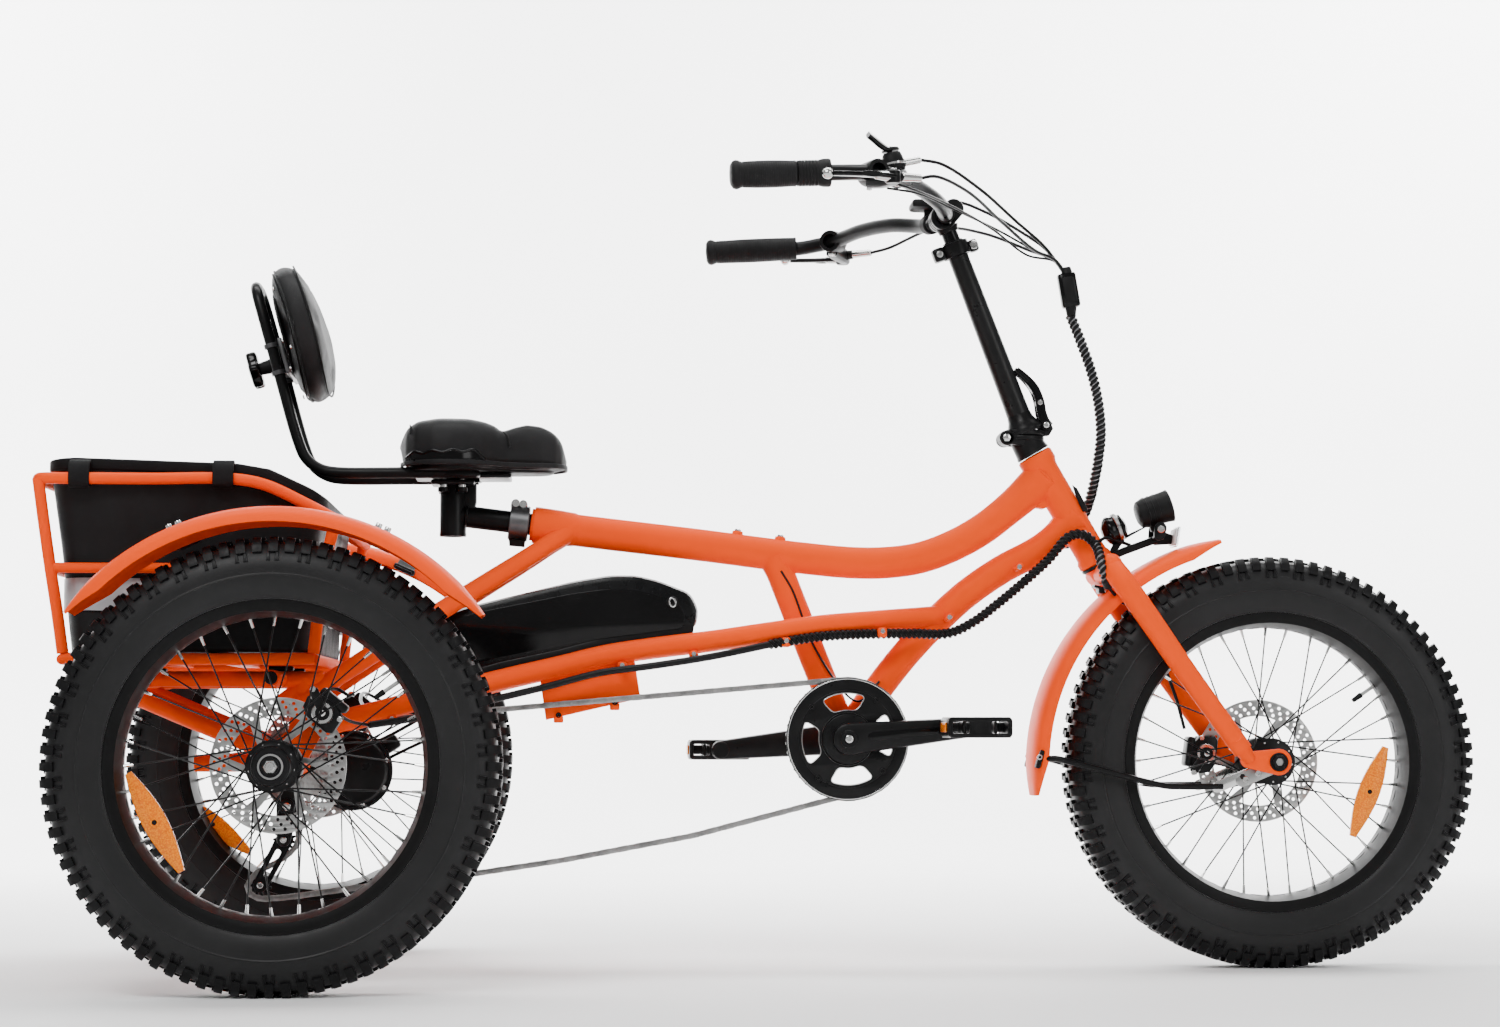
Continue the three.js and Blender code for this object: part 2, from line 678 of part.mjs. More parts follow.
function handlepost() {
  const topRadius = 14.5;
  const shaft = rod(onPost(-8), onPost(postLength), postRadius, topRadius, 14);
  const foot = link([350, 781], [380, 781], 8.5, -24, 24);
  const hingeEye = join(
    axial(postHinge.x, postHinge.z, -11, 11, 11),
    link([postHinge.x, postHinge.z], [350, 781], 8, -11, 11),
  );
  const collar = rod(onPost(postLength - 22), onPost(postLength - 4), 20, 20, 14);
  const lug = link([252, 1043], [222, 1031], 8, -7, 7);
  const catchEye = link([384, 790], [397, 787], 5, -14, -7);
  const boreRadius = riserRadius + boreClearance;
  const bore = rod(onPost(postLength - 190), onPost(postLength + 9), boreRadius, boreRadius, 14);
  const belowJoint = [[300, 700], [460, 700], [460, 772], [348, 772], [348, 740], [300, 740]];
  const baseRoom = plate(belowJoint, -40, 40);
  const blank = cut(join(shaft, foot, collar, lug, catchEye), baseRoom);
  return largest(cut(join(blank, hingeEye), bore, knuckleRoom()));
}

const knuckleRoom = () => join(...[[12 - gap, 23], [-23, -12 + gap]].map(([y0, y1]) => link(
  [postHinge.x, postHinge.z], [366, 766], 11 + gap, y0, y1, 13 + gap,
)));

// The catch lever lies against the front of the post and swings forward to release it.
const catchPivot = vec(397, 0, 787);

function foldLever() {
  const blade = link([catchPivot.x, catchPivot.z], [384, 826], 6, -5, 5, 5);
  const tail = link([384, 826], [356, 866], 5, -5, 5, 3);
  const lowerEnd = link([catchPivot.x, catchPivot.z], [398.5, 782], 5, -5, 5, 3.6);
  return join(blade, tail, lowerEnd);
}

// ---------------------------------------------------------------- handlebar and controls

const barCentre = onPost(postLength + 38);
const gripDirection = vec(-0.997, -0.067, -0.045).normalize();
const gripStart = vec(62, -gripHalfSpan, 1097);
const gripLength = 140;
const onGrip = (distance) => gripStart.clone().addScaledVector(gripDirection, distance);

const rightBarLine = [
  onGrip(gripLength - 4), onGrip(90), onGrip(45), onGrip(0), vec(112, -302, 1103), vec(150, -238, 1110),
  vec(190, -168, 1108), vec(228, -105, 1097), vec(243, -55, 1092),
];
const mirrored = (points) => points.map((point) => vec(point.x, -point.y, point.z));
const barLine = [...rightBarLine, barCentre, ...mirrored(rightBarLine).reverse()];
const barBlank = (extra) => tube(barLine, barRadius + extra, 26, 8);

function riser() {
  const top = barCentre.clone().addScaledVector(postUp, -6);
  const post = rod(onPost(postLength - 150), top, riserRadius, riserRadius, 14);
  const clamp = axial(barCentre.x, barCentre.z, -22, 22, 19);
  const boltLug = link([barCentre.x - 8, barCentre.z - 12], [barCentre.x - 24, barCentre.z - 20], 6, -12, 12);
  return largest(cut(join(post, clamp, boltLug), barBlank(gap)));
}

function gripSleeve(from, to, radius, endRadius) {
  const sleeve = rod(onGrip(from), onGrip(to), radius, endRadius, 16);
  return largest(cut(sleeve, barBlank(gap)));
}

// The throttle sleeve turns on the bar, so its bore is round and a little larger.
function throttleSleeve() {
  const sleeve = rod(onGrip(10), onGrip(55.4), 18, 16.5, 16);
  return cut(sleeve, rod(onGrip(0), onGrip(66), barRadius + 2.4, barRadius + 2.4, 14));
}

const leverPivot = vec(134, -366, 1086);

function brakeBracket() {
  const clamp = rod(vec(122, -318, 1104), vec(106, -286, 1102), 17, 17, 12);
  const arm = rod(vec(116, -306, 1098), vec(134, -352, 1086), 10, 9);
  const yokes = [-1, 1].map((end) => rod(
    vec(134, -350, 1086 + end * 8.5), vec(leverPivot.x, leverPivot.y, 1086 + end * 8.5), 5.5, 4, 6,
  ));
  const yokeBridge = box(128, 140, -356, -346, 1075, 1097);
  const outlet = rod(vec(134, -344, 1088), vec(160, -336, 1090), 6, 4.5);
  return largest(cut(join(clamp, arm, ...yokes, yokeBridge, outlet), barBlank(gap)));
}

// A flat blade from the pivot to the ball at the tip, outboard of the grip.
function brakeLever() {
  const outline = new THREE.Shape([
    new THREE.Vector2(140, -372), new THREE.Vector2(128, -360.5), new THREE.Vector2(96, -374),
    new THREE.Vector2(50, -384), new THREE.Vector2(50, -394), new THREE.Vector2(98, -386),
    new THREE.Vector2(130, -380),
  ]);
  const blade = new THREE.ExtrudeGeometry(outline, { depth: 7, bevelEnabled: false }).translate(0, 0, 1082.5);
  const ball = new THREE.SphereGeometry(8, 8, 6).translate(44, -388, 1086);
  return join(solid(blade), solid(ball));
}

function shifter() {
  const clamp = rod(vec(157, -227, 1110), vec(145, -247, 1110), 15, 15, 12);
  const pod = rod(vec(151, -237, 1118), vec(146, -236, 1142), 15, 13, 14);
  const outlet = rod(vec(154, -237, 1136), vec(186, -225, 1136), 5, 4);
  return largest(cut(join(clamp, pod, outlet), barBlank(gap)));
}

function shiftLever() {
  const disc = rod(vec(145.8, -236, 1144.4), vec(145, -236, 1149), 10, 10, 12);
  const paddle = rod(vec(146, -240, 1150), vec(112, -262, 1162), 4.5, 3.5, 8);
  return join(disc, paddle);
}

function display() {
  const clamp = rod(vec(240, 62, 1093), vec(235, 76, 1094), 14, 14, 12);
  const stalk = box(226, 246, 62, 74, 1100, 1116);
  const screen = box(208, 250, 40, 96, 1115, 1127);
  return largest(cut(join(clamp, stalk, screen), barBlank(gap)));
}

// ---------------------------------------------------------------- cables

const harnessTop = vec(432, -16, 1000);
const cableStarts = [
  [vec(162, -335, 1090), vec(200, -300, 1104), vec(262, -190, 1124), vec(352, -70, 1090)],
  [vec(162, 335, 1090), vec(200, 300, 1104), vec(262, 180, 1118), vec(352, 50, 1084)],
  [vec(188, -224, 1136), vec(226, -205, 1142), vec(290, -140, 1140), vec(372, -55, 1084)],
  [vec(252, 72, 1121), vec(276, 60, 1126), vec(316, 30, 1112), vec(372, 0, 1068)],
];
const barCables = () => join(...cableStarts.map((points) => tube(
  [...points, vec(410, points[3].y / 3 - 11, 1044), harnessTop, vec(433, -16, 985)], 2.5, 8, 6,
)));

const harnessLine = [
  vec(433, -18, 946), vec(448, -22, 905), vec(463, -22, 860), vec(473, -19, 815), vec(477, -12, 772),
  vec(474, 0, 730), vec(468, 16, 690), vec(460, 31, 660), vec(446, 38, 634),
];
const harnessJoint = () => rod(vec(433, -17, 984.4), vec(433, -18, 940), 11, 8, 10);

const loomLine = [
  vec(461, -37, 611), vec(453, -38, 620), vec(438, -38, 626), vec(422, -38, 620), vec(396, -37, 590),
  vec(361, -36, 558), vec(311, -36, 517), vec(285, -36, 498), vec(250, -40, 482), vec(195, -48, 481), vec(129, -54, 480), vec(60, -60, 476),
  vec(-10, -61.5, 465), vec(-91, -70, 448), vec(-178, -72, 434), vec(-253, -72, 424), vec(-330, -78, 404),
  vec(-412, -92, 384), vec(-500, -112, 362), vec(-575, -136, 350),
];

// ---------------------------------------------------------------- battery and controller

function battery() {
  const outline = [
    [-500, 405], [-500, 486], [-481, 505], [-441, 519], [-350, 541], [-289, 556], [-239, 564],
    [-202, 564], [-171, 557], [-124, 539], [-112, 515], [-116, 489], [-250, 468], [-310, 452.5],
    [-395, 434],
  ];
  return largest(cut(plate(outline, -47, 47), lowerRails(gap)));
}

// ---------------------------------------------------------------- saddle and backrest

function seatPost() {
  const horizontal = rod(seatLine(-120), seatLine(112), seatPostRadius, seatPostRadius, 14);
  const vertical = rod(vec(-465, 0, 622), vec(-465, 0, 698), 19, 19, 14);
  const topClamp = box(-490, -440, -22, 22, 692, 702.5);
  return join(horizontal, vertical, topClamp);
}

function seatClamp() {
  const band = rod(seatLine(6), seatLine(28), 25, 25, 16);
  const ear = link([-374, 668], [-371, 676], 9, -14, 14);
  const bore = rod(seatLine(-20), seatLine(60), seatBoreRadius, seatBoreRadius, 14);
  return largest(cut(join(band, ear), bore, mainTubeBlank(gap)));
}

// The saddle shell: a broad back and a rounded nose.
function saddle() {
  const outline = new THREE.Shape();
  outline.moveTo(-540, 0);
  outline.bezierCurveTo(-540, 90, -510, 126, -470, 126);
  outline.bezierCurveTo(-420, 126, -400, 80, -370, 66);
  outline.bezierCurveTo(-320, 60, -301, 40, -301, 0);
  outline.bezierCurveTo(-301, -40, -320, -60, -370, -66);
  outline.bezierCurveTo(-400, -80, -420, -126, -470, -126);
  outline.bezierCurveTo(-510, -126, -540, -90, -540, 0);
  const settings = {
    depth: 30, bevelEnabled: true, bevelSize: 20, bevelThickness: 20, bevelOffset: -20,
    bevelSegments: 2, curveSegments: 4,
  };
  return solid(new THREE.ExtrudeGeometry(outline, settings).translate(0, 0, 737.5));
}

const backrestTubeRadius = 8;
const backrestUp = vec(-Math.sin(backrestLean), 0, Math.cos(backrestLean));
const onBackrest = (distance, y) => vec(-684, y, 756).addScaledVector(backrestUp, distance);

// One bent tube runs from below the saddle, up behind the rider and across the top.
function backrestFrame() {
  const side = (y) => [
    vec(-430, y, 708.5), vec(-630, y, 708.5), vec(-648, y, 711.8), vec(-662.5, y, 719.5),
    vec(-673.5, y, 731), onBackrest(0, y), onBackrest(196, y), onBackrest(222, y * 0.8), onBackrest(230, y * 0.4),
  ];
  const line = [...side(-60), ...side(60).reverse()];
  const underPlate = box(-520, -380, -46, 46, 703, 710);
  const basePlate = box(-478, -425, -68, 68, 703, 710);
  return join(tube(line, backrestTubeRadius, 60, 6), underPlate, basePlate);
}

const padForward = vec(Math.cos(backrestLean), 0, Math.sin(backrestLean));
const padCentre = onBackrest(150, 0).addScaledVector(padForward, 45);

function leaningBox(centre, depth, width, height) {
  const geometry = new THREE.BoxGeometry(depth, width, height);
  return solid(geometry.rotateY(-backrestLean).translate(centre.x, centre.y, centre.z));
}

function backrestPad() {
  const outline = new THREE.Shape();
  outline.absellipse(0, 0, 150, 102, 0, 2 * Math.PI);
  const settings = {
    depth: 22, bevelEnabled: true, bevelSize: 18, bevelThickness: 14, bevelOffset: -18,
    bevelSegments: 1, curveSegments: 12,
  };
  const geometry = new THREE.ExtrudeGeometry(outline, settings).translate(0, 0, -11);
  const toRider = new THREE.Matrix4().makeBasis(vec(0, 1, 0), backrestUp, padForward);
  return solid(geometry.applyMatrix4(toRider).translate(padCentre.x, padCentre.y, padCentre.z));
}

// The slider behind the pad grips both legs of the backrest tube.
function backrestSlider() {
  const block = leaningBox(behindPad(14), 10, 156, 52);
  const boss = rod(behindPad(-8), behindPad(12), 12);
  return largest(cut(join(block, boss), backrestLegRoom()));
}

const behindPad = (distance) => onBackrest(118, 0).addScaledVector(padForward, distance);

const backrestLegRoom = () => join(...[-60, 60].map((y) => rod(
  onBackrest(0, y), onBackrest(200, y), backrestTubeRadius + boreClearance,
)));

function backrestKnob() {
  const knob = rod(behindPad(-42), behindPad(-27), 24, 27, 10);
  const stem = rod(behindPad(-28), behindPad(-8.4), 9, 9, 8);
  return join(knob, stem);
}

// ---------------------------------------------------------------- basket

const basketTop = [[-1008, 680], [-748, 680], [-708, 672], [-650, 646], [-612, 626]];
const basketRearBottom = [-972, 438];
const basketFrontBottom = [-640, 438];
const basketFloorZ = 448;

function basketFrame() {
  const at = (y) => ([x, z]) => vec(x, y, z);
  const bar = (from, to, radius) => rod(from, to, radius, radius, 6);
  const sides = [-1, 1].map((side) => {
    const point = at(side * basketHalfWidth);
    const hoop = [basketRearBottom, ...basketTop, basketFrontBottom].map(point);
    return join(
      bentTube(hoop, basketTubeRadius),
      bar(point(basketRearBottom), point(basketFrontBottom), basketTubeRadius - 1),
      bar(point([-990, 560]), point([-627, 560]), basketTubeRadius - 1),
    );
  });
  const across = (radius) => ([x, z]) => bar(
    vec(x, -basketHalfWidth, z), vec(x, basketHalfWidth, z), radius,
  );
  const crossBars = [
    basketTop[0], basketTop[4], basketRearBottom, basketFrontBottom, [-990, 560], [-622, 560],
  ].map(across(basketTubeRadius - 1.5));
  const slats = [[-880, 438], [-780, 438]].map(across(basketTubeRadius - 2));
  return join(...sides, ...crossBars, ...slats);
}

// The fabric liner: four walls and a floor inside the bars, open at the top.
function basketLiner() {
  const outline = (inset, floor, rise) => [
    [-962 + inset, floor], [-990 + inset, 700 + rise], [-745, 698 + rise], [-704, 690 + rise],
    [-648, 664 + rise], [-630 - inset, 652 + rise], [-650 - inset, floor],
  ];
  const wall = 4;
  const outer = plate(outline(0, basketFloorZ, 0), -279, 279);
  const inner = plate(outline(wall, basketFloorZ + wall, 40), -279 + wall, 279 - wall);
  return cut(outer, inner);
}

function rearFender(side) {
  const y = side * halfTrack;
  const shell = fender(rearAxleX, y, axleZ, 338, 60, 37, 142.5);
  const tabs = [66, 113].map((degrees) => {
    const angle = THREE.MathUtils.degToRad(degrees);
    const x = rearAxleX + 335 * Math.cos(angle);
    const z = axleZ + 335 * Math.sin(angle);
    return box(x - 9, x + 9, y - (side > 0 ? 96 : 43), y + (side > 0 ? -43 : 96), z - 2, z + 1);
  });
  return largest(join(shell, ...tabs));
}

// ---------------------------------------------------------------- assembly

function downAndSeatTubes() {
  const blank = join(downTubeBlank(0), seatTubeBlank(0));
  return largest(cut(blank, headTubeBlank(gap), mainTubeBlank(gap), spindleBore));
}

function railsWithControllerBox() {
  const blank = join(lowerRails(0), railCrossPlate, controllerBox);
  return largest(cut(blank, downTubeBlank(gap), seatTubeBlank(gap), rearCarrier(gap)));
}

add('head_tube', cut(headTubeBlank(0), headBore), 'paint');
add('main_tube', mainTube(), 'paint');
add('down_and_seat_tubes', downAndSeatTubes(), 'paint');
add('lower_rails', railsWithControllerBox(), 'paint');
add('rear_carrier', rearCarrierWithStays(), 'paint');
add('seat_clamp', seatClamp(), 'alloy');
add('battery', battery(), 'glossPlastic');
add('drive_unit', driveUnit(), 'blackMetal');
add('cassette', cassette(), 'steel');
add('derailleur', derailleur(), 'blackMetal');
add('chain', chain(), 'steel');
add('crankset_right', rightCrank(), 'blackMetal');
add('crank_left', leftCrank(), 'blackMetal');
add('pedal_right', pedal(-1), 'blackPlastic');
add('pedal_left', pedal(1), 'blackPlastic');

add('basket_frame', basketFrame(), 'paint');
add('basket_liner', basketLiner(), 'fabric');

for (const [name, side] of [['right', -1], ['left', 1]]) {
  const y = side * halfTrack;
  const rotorY = side * (halfTrack - rotorOffset);
  add(`rear_tyre_${name}`, tyre(rearAxleX, y), 'rubber');
  const caliperSolid = caliper(-622, 366, rearAxleX, rotorY, side, [caliperPlate(side, gap)]);
  add(`rear_wheel_${name}`, wheel(rearAxleX, y, rearHubProfile(side)), 'blackMetal');
  add(`rear_rotor_${name}`, rotor(rearAxleX, rotorY, rotorInnerRadius), 'steel');
  add(`rear_caliper_${name}`, caliperSolid, 'blackMetal');
  add(`rear_fender_${name}`, rearFender(side), 'paint');
}

add('fork', fork(), 'paint');
add('front_axle', frontAxle(), 'steel');
add('front_tyre', tyre(frontAxleX, 0), 'rubber');
add('front_wheel', wheel(frontAxleX, 0, frontHubProfile), 'blackMetal');
add('front_rotor', rotor(frontAxleX, frontRotorY, rotorInnerRadius), 'steel');
add('front_caliper', caliper(638, 308, frontAxleX, frontRotorY, -1, [forkLeg(1, gap)]), 'blackMetal');
add('front_fender', frontFender(), 'paint');
add('light_bracket', lightBracket(), 'blackPlastic');
add('headlight', headlight(), 'lamp');

add('stem_base', stemBase(), 'blackMetal');
add('handlepost', handlepost(), 'blackMetal');
add('fold_lever', foldLever(), 'blackMetal');
add('bar_riser', riser(), 'blackMetal');
add('handlebar', barBlank(0), 'blackMetal');
add('grip_right', gripSleeve(56, gripLength, 16.5, 18.5), 'rubber');
add('twist_throttle', throttleSleeve(), 'rubber');
add('grip_left', mirrorY(gripSleeve(4, gripLength, 16.5, 18.5)), 'rubber');
add('brake_bracket_right', brakeBracket(), 'blackPlastic');
add('brake_bracket_left', mirrorY(brakeBracket()), 'blackPlastic');
add('brake_lever_right', brakeLever(), 'alloy');
add('brake_lever_left', mirrorY(brakeLever()), 'alloy');
add('shifter', shifter(), 'blackPlastic');
add('shift_lever', shiftLever(), 'blackPlastic');
add('display', display(), 'blackPlastic');
add('bar_cables', barCables(), 'rubber');
add('front_harness', join(harnessJoint(), tube(harnessLine, 6, 12, 8)), 'rubber');
add('frame_loom', tube(loomLine, 5.5, 60, 8), 'rubber');

add('seat_post', seatPost(), 'blackMetal');
add('saddle', saddle(), 'leather');
add('backrest_frame', backrestFrame(), 'blackMetal');
add('backrest_pad', backrestPad(), 'leather');
add('backrest_slider', backrestSlider(), 'alloy');
add('backrest_knob', backrestKnob(), 'blackPlastic');

export default group;
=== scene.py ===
import math
import random

import bmesh
import bpy
import numpy as np
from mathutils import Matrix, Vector


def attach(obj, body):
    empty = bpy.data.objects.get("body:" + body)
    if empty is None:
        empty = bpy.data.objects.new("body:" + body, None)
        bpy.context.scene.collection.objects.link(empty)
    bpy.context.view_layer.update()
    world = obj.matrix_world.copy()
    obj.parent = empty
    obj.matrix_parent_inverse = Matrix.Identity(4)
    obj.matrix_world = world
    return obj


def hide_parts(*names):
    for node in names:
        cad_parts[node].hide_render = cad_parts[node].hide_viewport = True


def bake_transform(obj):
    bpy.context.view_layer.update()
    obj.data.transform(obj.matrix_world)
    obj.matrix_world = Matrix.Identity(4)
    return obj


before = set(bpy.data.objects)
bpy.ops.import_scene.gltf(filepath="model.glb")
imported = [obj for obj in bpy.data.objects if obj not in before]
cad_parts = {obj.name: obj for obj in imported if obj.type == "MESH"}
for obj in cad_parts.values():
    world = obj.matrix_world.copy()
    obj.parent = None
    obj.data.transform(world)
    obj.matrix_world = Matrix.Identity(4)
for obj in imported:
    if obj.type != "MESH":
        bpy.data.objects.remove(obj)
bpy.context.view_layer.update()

# Electric adult tricycle. +X is forward, the rider's right side is -Y, +Z is up.
# The builders below work in millimetres, as the part's source does; piece() turns them to metres.

random.seed(4)

# ---------------------------------------------------------------- dimensions shared with the CAD model

FRONT_AXLE_X, REAR_AXLE_X, AXLE_Z = 719.0, -681.0, 297.0
HALF_TRACK = 395.0
HOUSING_INNER_Y, HOUSING_OUTER_Y = 80.5, 318
HEAD_BASE = np.array([471.5, 0.0, 585.0])
STEER_LEAN = math.radians(30)
STEER_UP = np.array([-math.sin(STEER_LEAN), 0, math.cos(STEER_LEAN)])
HEAD_LENGTH = 182.0
CRANK = np.array([100.0, 0.0, 330.0])
CRANK_LENGTH, CRANK_ANGLE = 175.0, math.radians(5.5)
CHAIN_Y = -50.0
CASSETTE = np.array([-605.0, CHAIN_Y, 285.0])
POST_BASE = np.array([365.0, 0.0, 784.0])
POST_LEAN = math.radians(20.7)
POST_UP = np.array([-math.sin(POST_LEAN), 0, math.cos(POST_LEAN)])
POST_LENGTH = 292.0
SEAT_SLOPE = math.radians(6.8)
SEAT_DIRECTION = np.array([-math.cos(SEAT_SLOPE), 0, math.sin(SEAT_SLOPE)])
BACK_LEAN = math.radians(16)
BACK_UP = np.array([-math.sin(BACK_LEAN), 0, math.cos(BACK_LEAN)])
BACK_FORWARD = np.array([math.cos(BACK_LEAN), 0, math.sin(BACK_LEAN)])
X, Y, Z = np.eye(3)


def vec(x, y, z):
    return np.array([x, y, z], float)


def on_steer(distance):
    return HEAD_BASE + STEER_UP * distance


def on_post(distance):
    return POST_BASE + POST_UP * distance


def on_seat(distance):
    return vec(-353, 0, 639) + SEAT_DIRECTION * distance


def on_back(distance, y=0.0, forward=0.0):
    return vec(-684, y, 756) + BACK_UP * distance + BACK_FORWARD * forward


# ---------------------------------------------------------------- materials


def new_material(name):
    material = bpy.data.materials.new(name)
    material.use_nodes = True
    return material, material.node_tree.nodes, material.node_tree.links


def noise(nodes, links, scale, detail=3.0, rough=0.5, kind="noise"):
    """A texture in object space; returns its 0..1 output."""
    place = nodes.new("ShaderNodeTexCoord")
    texture = nodes.new("ShaderNodeTexVoronoi" if kind == "voronoi" else "ShaderNodeTexNoise")
    texture.inputs["Scale"].default_value = scale
    if kind == "voronoi":
        links.new(place.outputs["Object"], texture.inputs["Vector"])
        return texture.outputs["Distance"]
    texture.inputs["Detail"].default_value = detail
    texture.inputs["Roughness"].default_value = rough
    links.new(place.outputs["Object"], texture.inputs["Vector"])
    return texture.outputs["Fac"]


def ramp(nodes, links, source, low, high, low_at=0.35, high_at=0.65):
    """Maps a 0..1 source to a colour ramp between two colours or greys."""
    node = nodes.new("ShaderNodeValToRGB")
    node.color_ramp.elements[0].position = low_at
    node.color_ramp.elements[1].position = high_at
    as_colour = lambda c: (c, c, c, 1) if isinstance(c, (int, float)) else (*c, 1)
    node.color_ramp.elements[0].color = as_colour(low)
    node.color_ramp.elements[1].color = as_colour(high)
    links.new(source, node.inputs["Fac"])
    return node.outputs["Color"]


def bump(nodes, links, height, strength, distance):
    node = nodes.new("ShaderNodeBump")
    node.inputs["Strength"].default_value = strength
    node.inputs["Distance"].default_value = distance
    links.new(height, node.inputs["Height"])
    return node.outputs["Normal"]


def surface(name, colour, shade, rough, metal=0.0, grain=None, coat=0.0, gloss=0.5, patch=7.0, tint=1.0):
    """A procedural surface: colour drifts between two shades, roughness between two values, and a
    grain of (kind, scale, strength, distance) lifts the surface."""
    material, nodes, links = new_material(name)
    shader = nodes["Principled BSDF"]
    drift = noise(nodes, links, patch, 5.0, 0.6)
    links.new(ramp(nodes, links, drift, colour, shade), shader.inputs["Base Color"])
    fine = noise(nodes, links, patch * 6, 4.0, 0.6)
    links.new(ramp(nodes, links, fine, rough[0], rough[1], 0.3, 0.7), shader.inputs["Roughness"])
    shader.inputs["Metallic"].default_value = metal
    shader.inputs["Coat Weight"].default_value = coat
    shader.inputs["Coat Roughness"].default_value = 0.08
    shader.inputs["Specular IOR Level"].default_value = gloss
    shader.inputs["Specular Tint"].default_value = (1, tint, tint * tint, 1)
    shader.inputs["IOR"].default_value = 1.3
    if grain:
        kind, scale, strength, distance = grain
        height = noise(nodes, links, scale, 3.0, 0.55, kind)
        links.new(bump(nodes, links, height, strength, distance), shader.inputs["Normal"])
    return material


def amber_prisms():
    """Clear amber plastic over a field of small reflecting prisms."""
    material, nodes, links = new_material("amber_reflector")
    shader = nodes["Principled BSDF"]
    cells = noise(nodes, links, 420.0, kind="voronoi")
    links.new(
        ramp(nodes, links, cells, (1.0, 0.3, 0.0), (0.8, 0.15, 0.0), 0.1, 0.7),
        shader.inputs["Base Color"],
    )
    fine = noise(nodes, links, 90.0)
    links.new(ramp(nodes, links, fine, 0.08, 0.2), shader.inputs["Roughness"])
    shader.inputs["Specular Tint"].default_value = (1, 0.6, 0.2, 1)
    shader.inputs["Coat Weight"].default_value = 0.15
    links.new(bump(nodes, links, cells, 0.5, 0.0006), shader.inputs["Normal"])
    return material


def clear_lens():
    material, nodes, links = new_material("clear_lens")
    shader = nodes["Principled BSDF"]
    shader.inputs["Base Color"].default_value = (0.86, 0.9, 0.93, 1)
    fine = noise(nodes, links, 160.0)
    links.new(ramp(nodes, links, fine, 0.03, 0.09), shader.inputs["Roughness"])
    shader.inputs["Transmission Weight"].default_value = 0.85
    links.new(bump(nodes, links, noise(nodes, links, 240.0, kind="voronoi"), 0.3, 0.0006),
              shader.inputs["Normal"])
    return material


ORANGE = surface("orange_powder_coat", (0.9, 0.07, 0.0), (0.86, 0.062, 0.0), (0.42, 0.5),
                 grain=("noise", 900.0, 0.03, 0.0002), gloss=0.22, tint=0.4, patch=3.0)
BLACK = surface("satin_black_metal", (0.004, 0.004, 0.0042), (0.007, 0.007, 0.0073), (0.26, 0.4),
                grain=("noise", 500.0, 0.06, 0.0004), gloss=0.32)
RIM_BLACK = surface("rim_finish", (0.002, 0.002, 0.0021), (0.004, 0.004, 0.0042), (0.38, 0.48),
                    grain=("noise", 500.0, 0.05, 0.0003), gloss=0.3)
POST = surface("brushed_black_post", (0.006, 0.006, 0.006), (0.01, 0.01, 0.0105), (0.26, 0.38),
               grain=("noise", 420.0, 0.08, 0.0004), gloss=0.4)
PLASTIC = surface("moulded_black_plastic", (0.004, 0.004, 0.0042), (0.008, 0.008, 0.0083), (0.42, 0.58),
                  grain=("noise", 900.0, 0.14, 0.0004), gloss=0.3)
GLOSS = surface("polished_black_plastic", (0.002, 0.002, 0.0021), (0.004, 0.004, 0.0042), (0.1, 0.18),
                grain=("noise", 160.0, 0.02, 0.0004), gloss=0.4)
SHELL = surface("battery_case_plastic", (0.002, 0.0021, 0.0023), (0.004, 0.0042, 0.0045), (0.22, 0.34),
                grain=("noise", 1100.0, 0.1, 0.0003), gloss=0.3)
RUBBER = surface("grip_rubber", (0.006, 0.006, 0.0063), (0.011, 0.011, 0.0115), (0.5, 0.66),
                 grain=("noise", 1300.0, 0.2, 0.0004), gloss=0.3)
TYRE = surface("tyre_rubber", (0.011, 0.011, 0.0113), (0.016, 0.016, 0.0165), (0.36, 0.48),
               grain=("noise", 700.0, 0.1, 0.0005), gloss=0.34, patch=4.0)
TREAD = surface("tread_rubber", (0.003, 0.003, 0.0032), (0.006, 0.006, 0.0064), (0.34, 0.56),
                grain=("noise", 500.0, 0.15, 0.0005), gloss=0.3, patch=18.0)
LEATHER = surface("grained_seat_cover", (0.012, 0.012, 0.0125), (0.018, 0.018, 0.0186), (0.5, 0.6),
                  grain=("voronoi", 700.0, 0.22, 0.0005), gloss=0.22)
STEEL = surface("machined_steel", (0.3, 0.3, 0.295), (0.42, 0.42, 0.415), (0.26, 0.42), metal=1.0,
                grain=("noise", 900.0, 0.12, 0.0003), patch=16.0)
SILVER = surface("bright_plated_steel", (0.55, 0.55, 0.54), (0.68, 0.68, 0.67), (0.14, 0.24), metal=1.0,
                 grain=("noise", 400.0, 0.04, 0.0003), patch=20.0)
CHAIN = surface("oiled_chain_steel", (0.2, 0.198, 0.195), (0.34, 0.335, 0.33), (0.3, 0.5), metal=1.0,
                grain=("noise", 900.0, 0.15, 0.0003), patch=40.0)
ALLOY = surface("anodised_grey_alloy", (0.09, 0.09, 0.093), (0.14, 0.14, 0.143), (0.3, 0.42), metal=0.9,
                grain=("noise", 800.0, 0.08, 0.0003), patch=12.0)
SHEATH = surface("cable_sheath", (0.003, 0.003, 0.0032), (0.006, 0.006, 0.0064), (0.28, 0.4),
                 grain=("noise", 900.0, 0.06, 0.0003), gloss=0.4, patch=30.0)
# Light grey wires inside the spiral wrap: partly the wires' own grey, partly painted highlight that shows
# through the gaps in the wrap.
WIRES_WITH_PAINTED_HIGHLIGHT = surface("grey_wires_painted_highlight", (0.1, 0.1, 0.105), (0.3, 0.3, 0.31), (0.35, 0.5),
               grain=("noise", 600.0, 0.1, 0.0004), patch=40.0)
BAND = surface("reflective_band", (0.3, 0.31, 0.32), (0.4, 0.41, 0.42), (0.35, 0.5), metal=0.3,
               grain=("voronoi", 500.0, 0.3, 0.0004), patch=14.0)
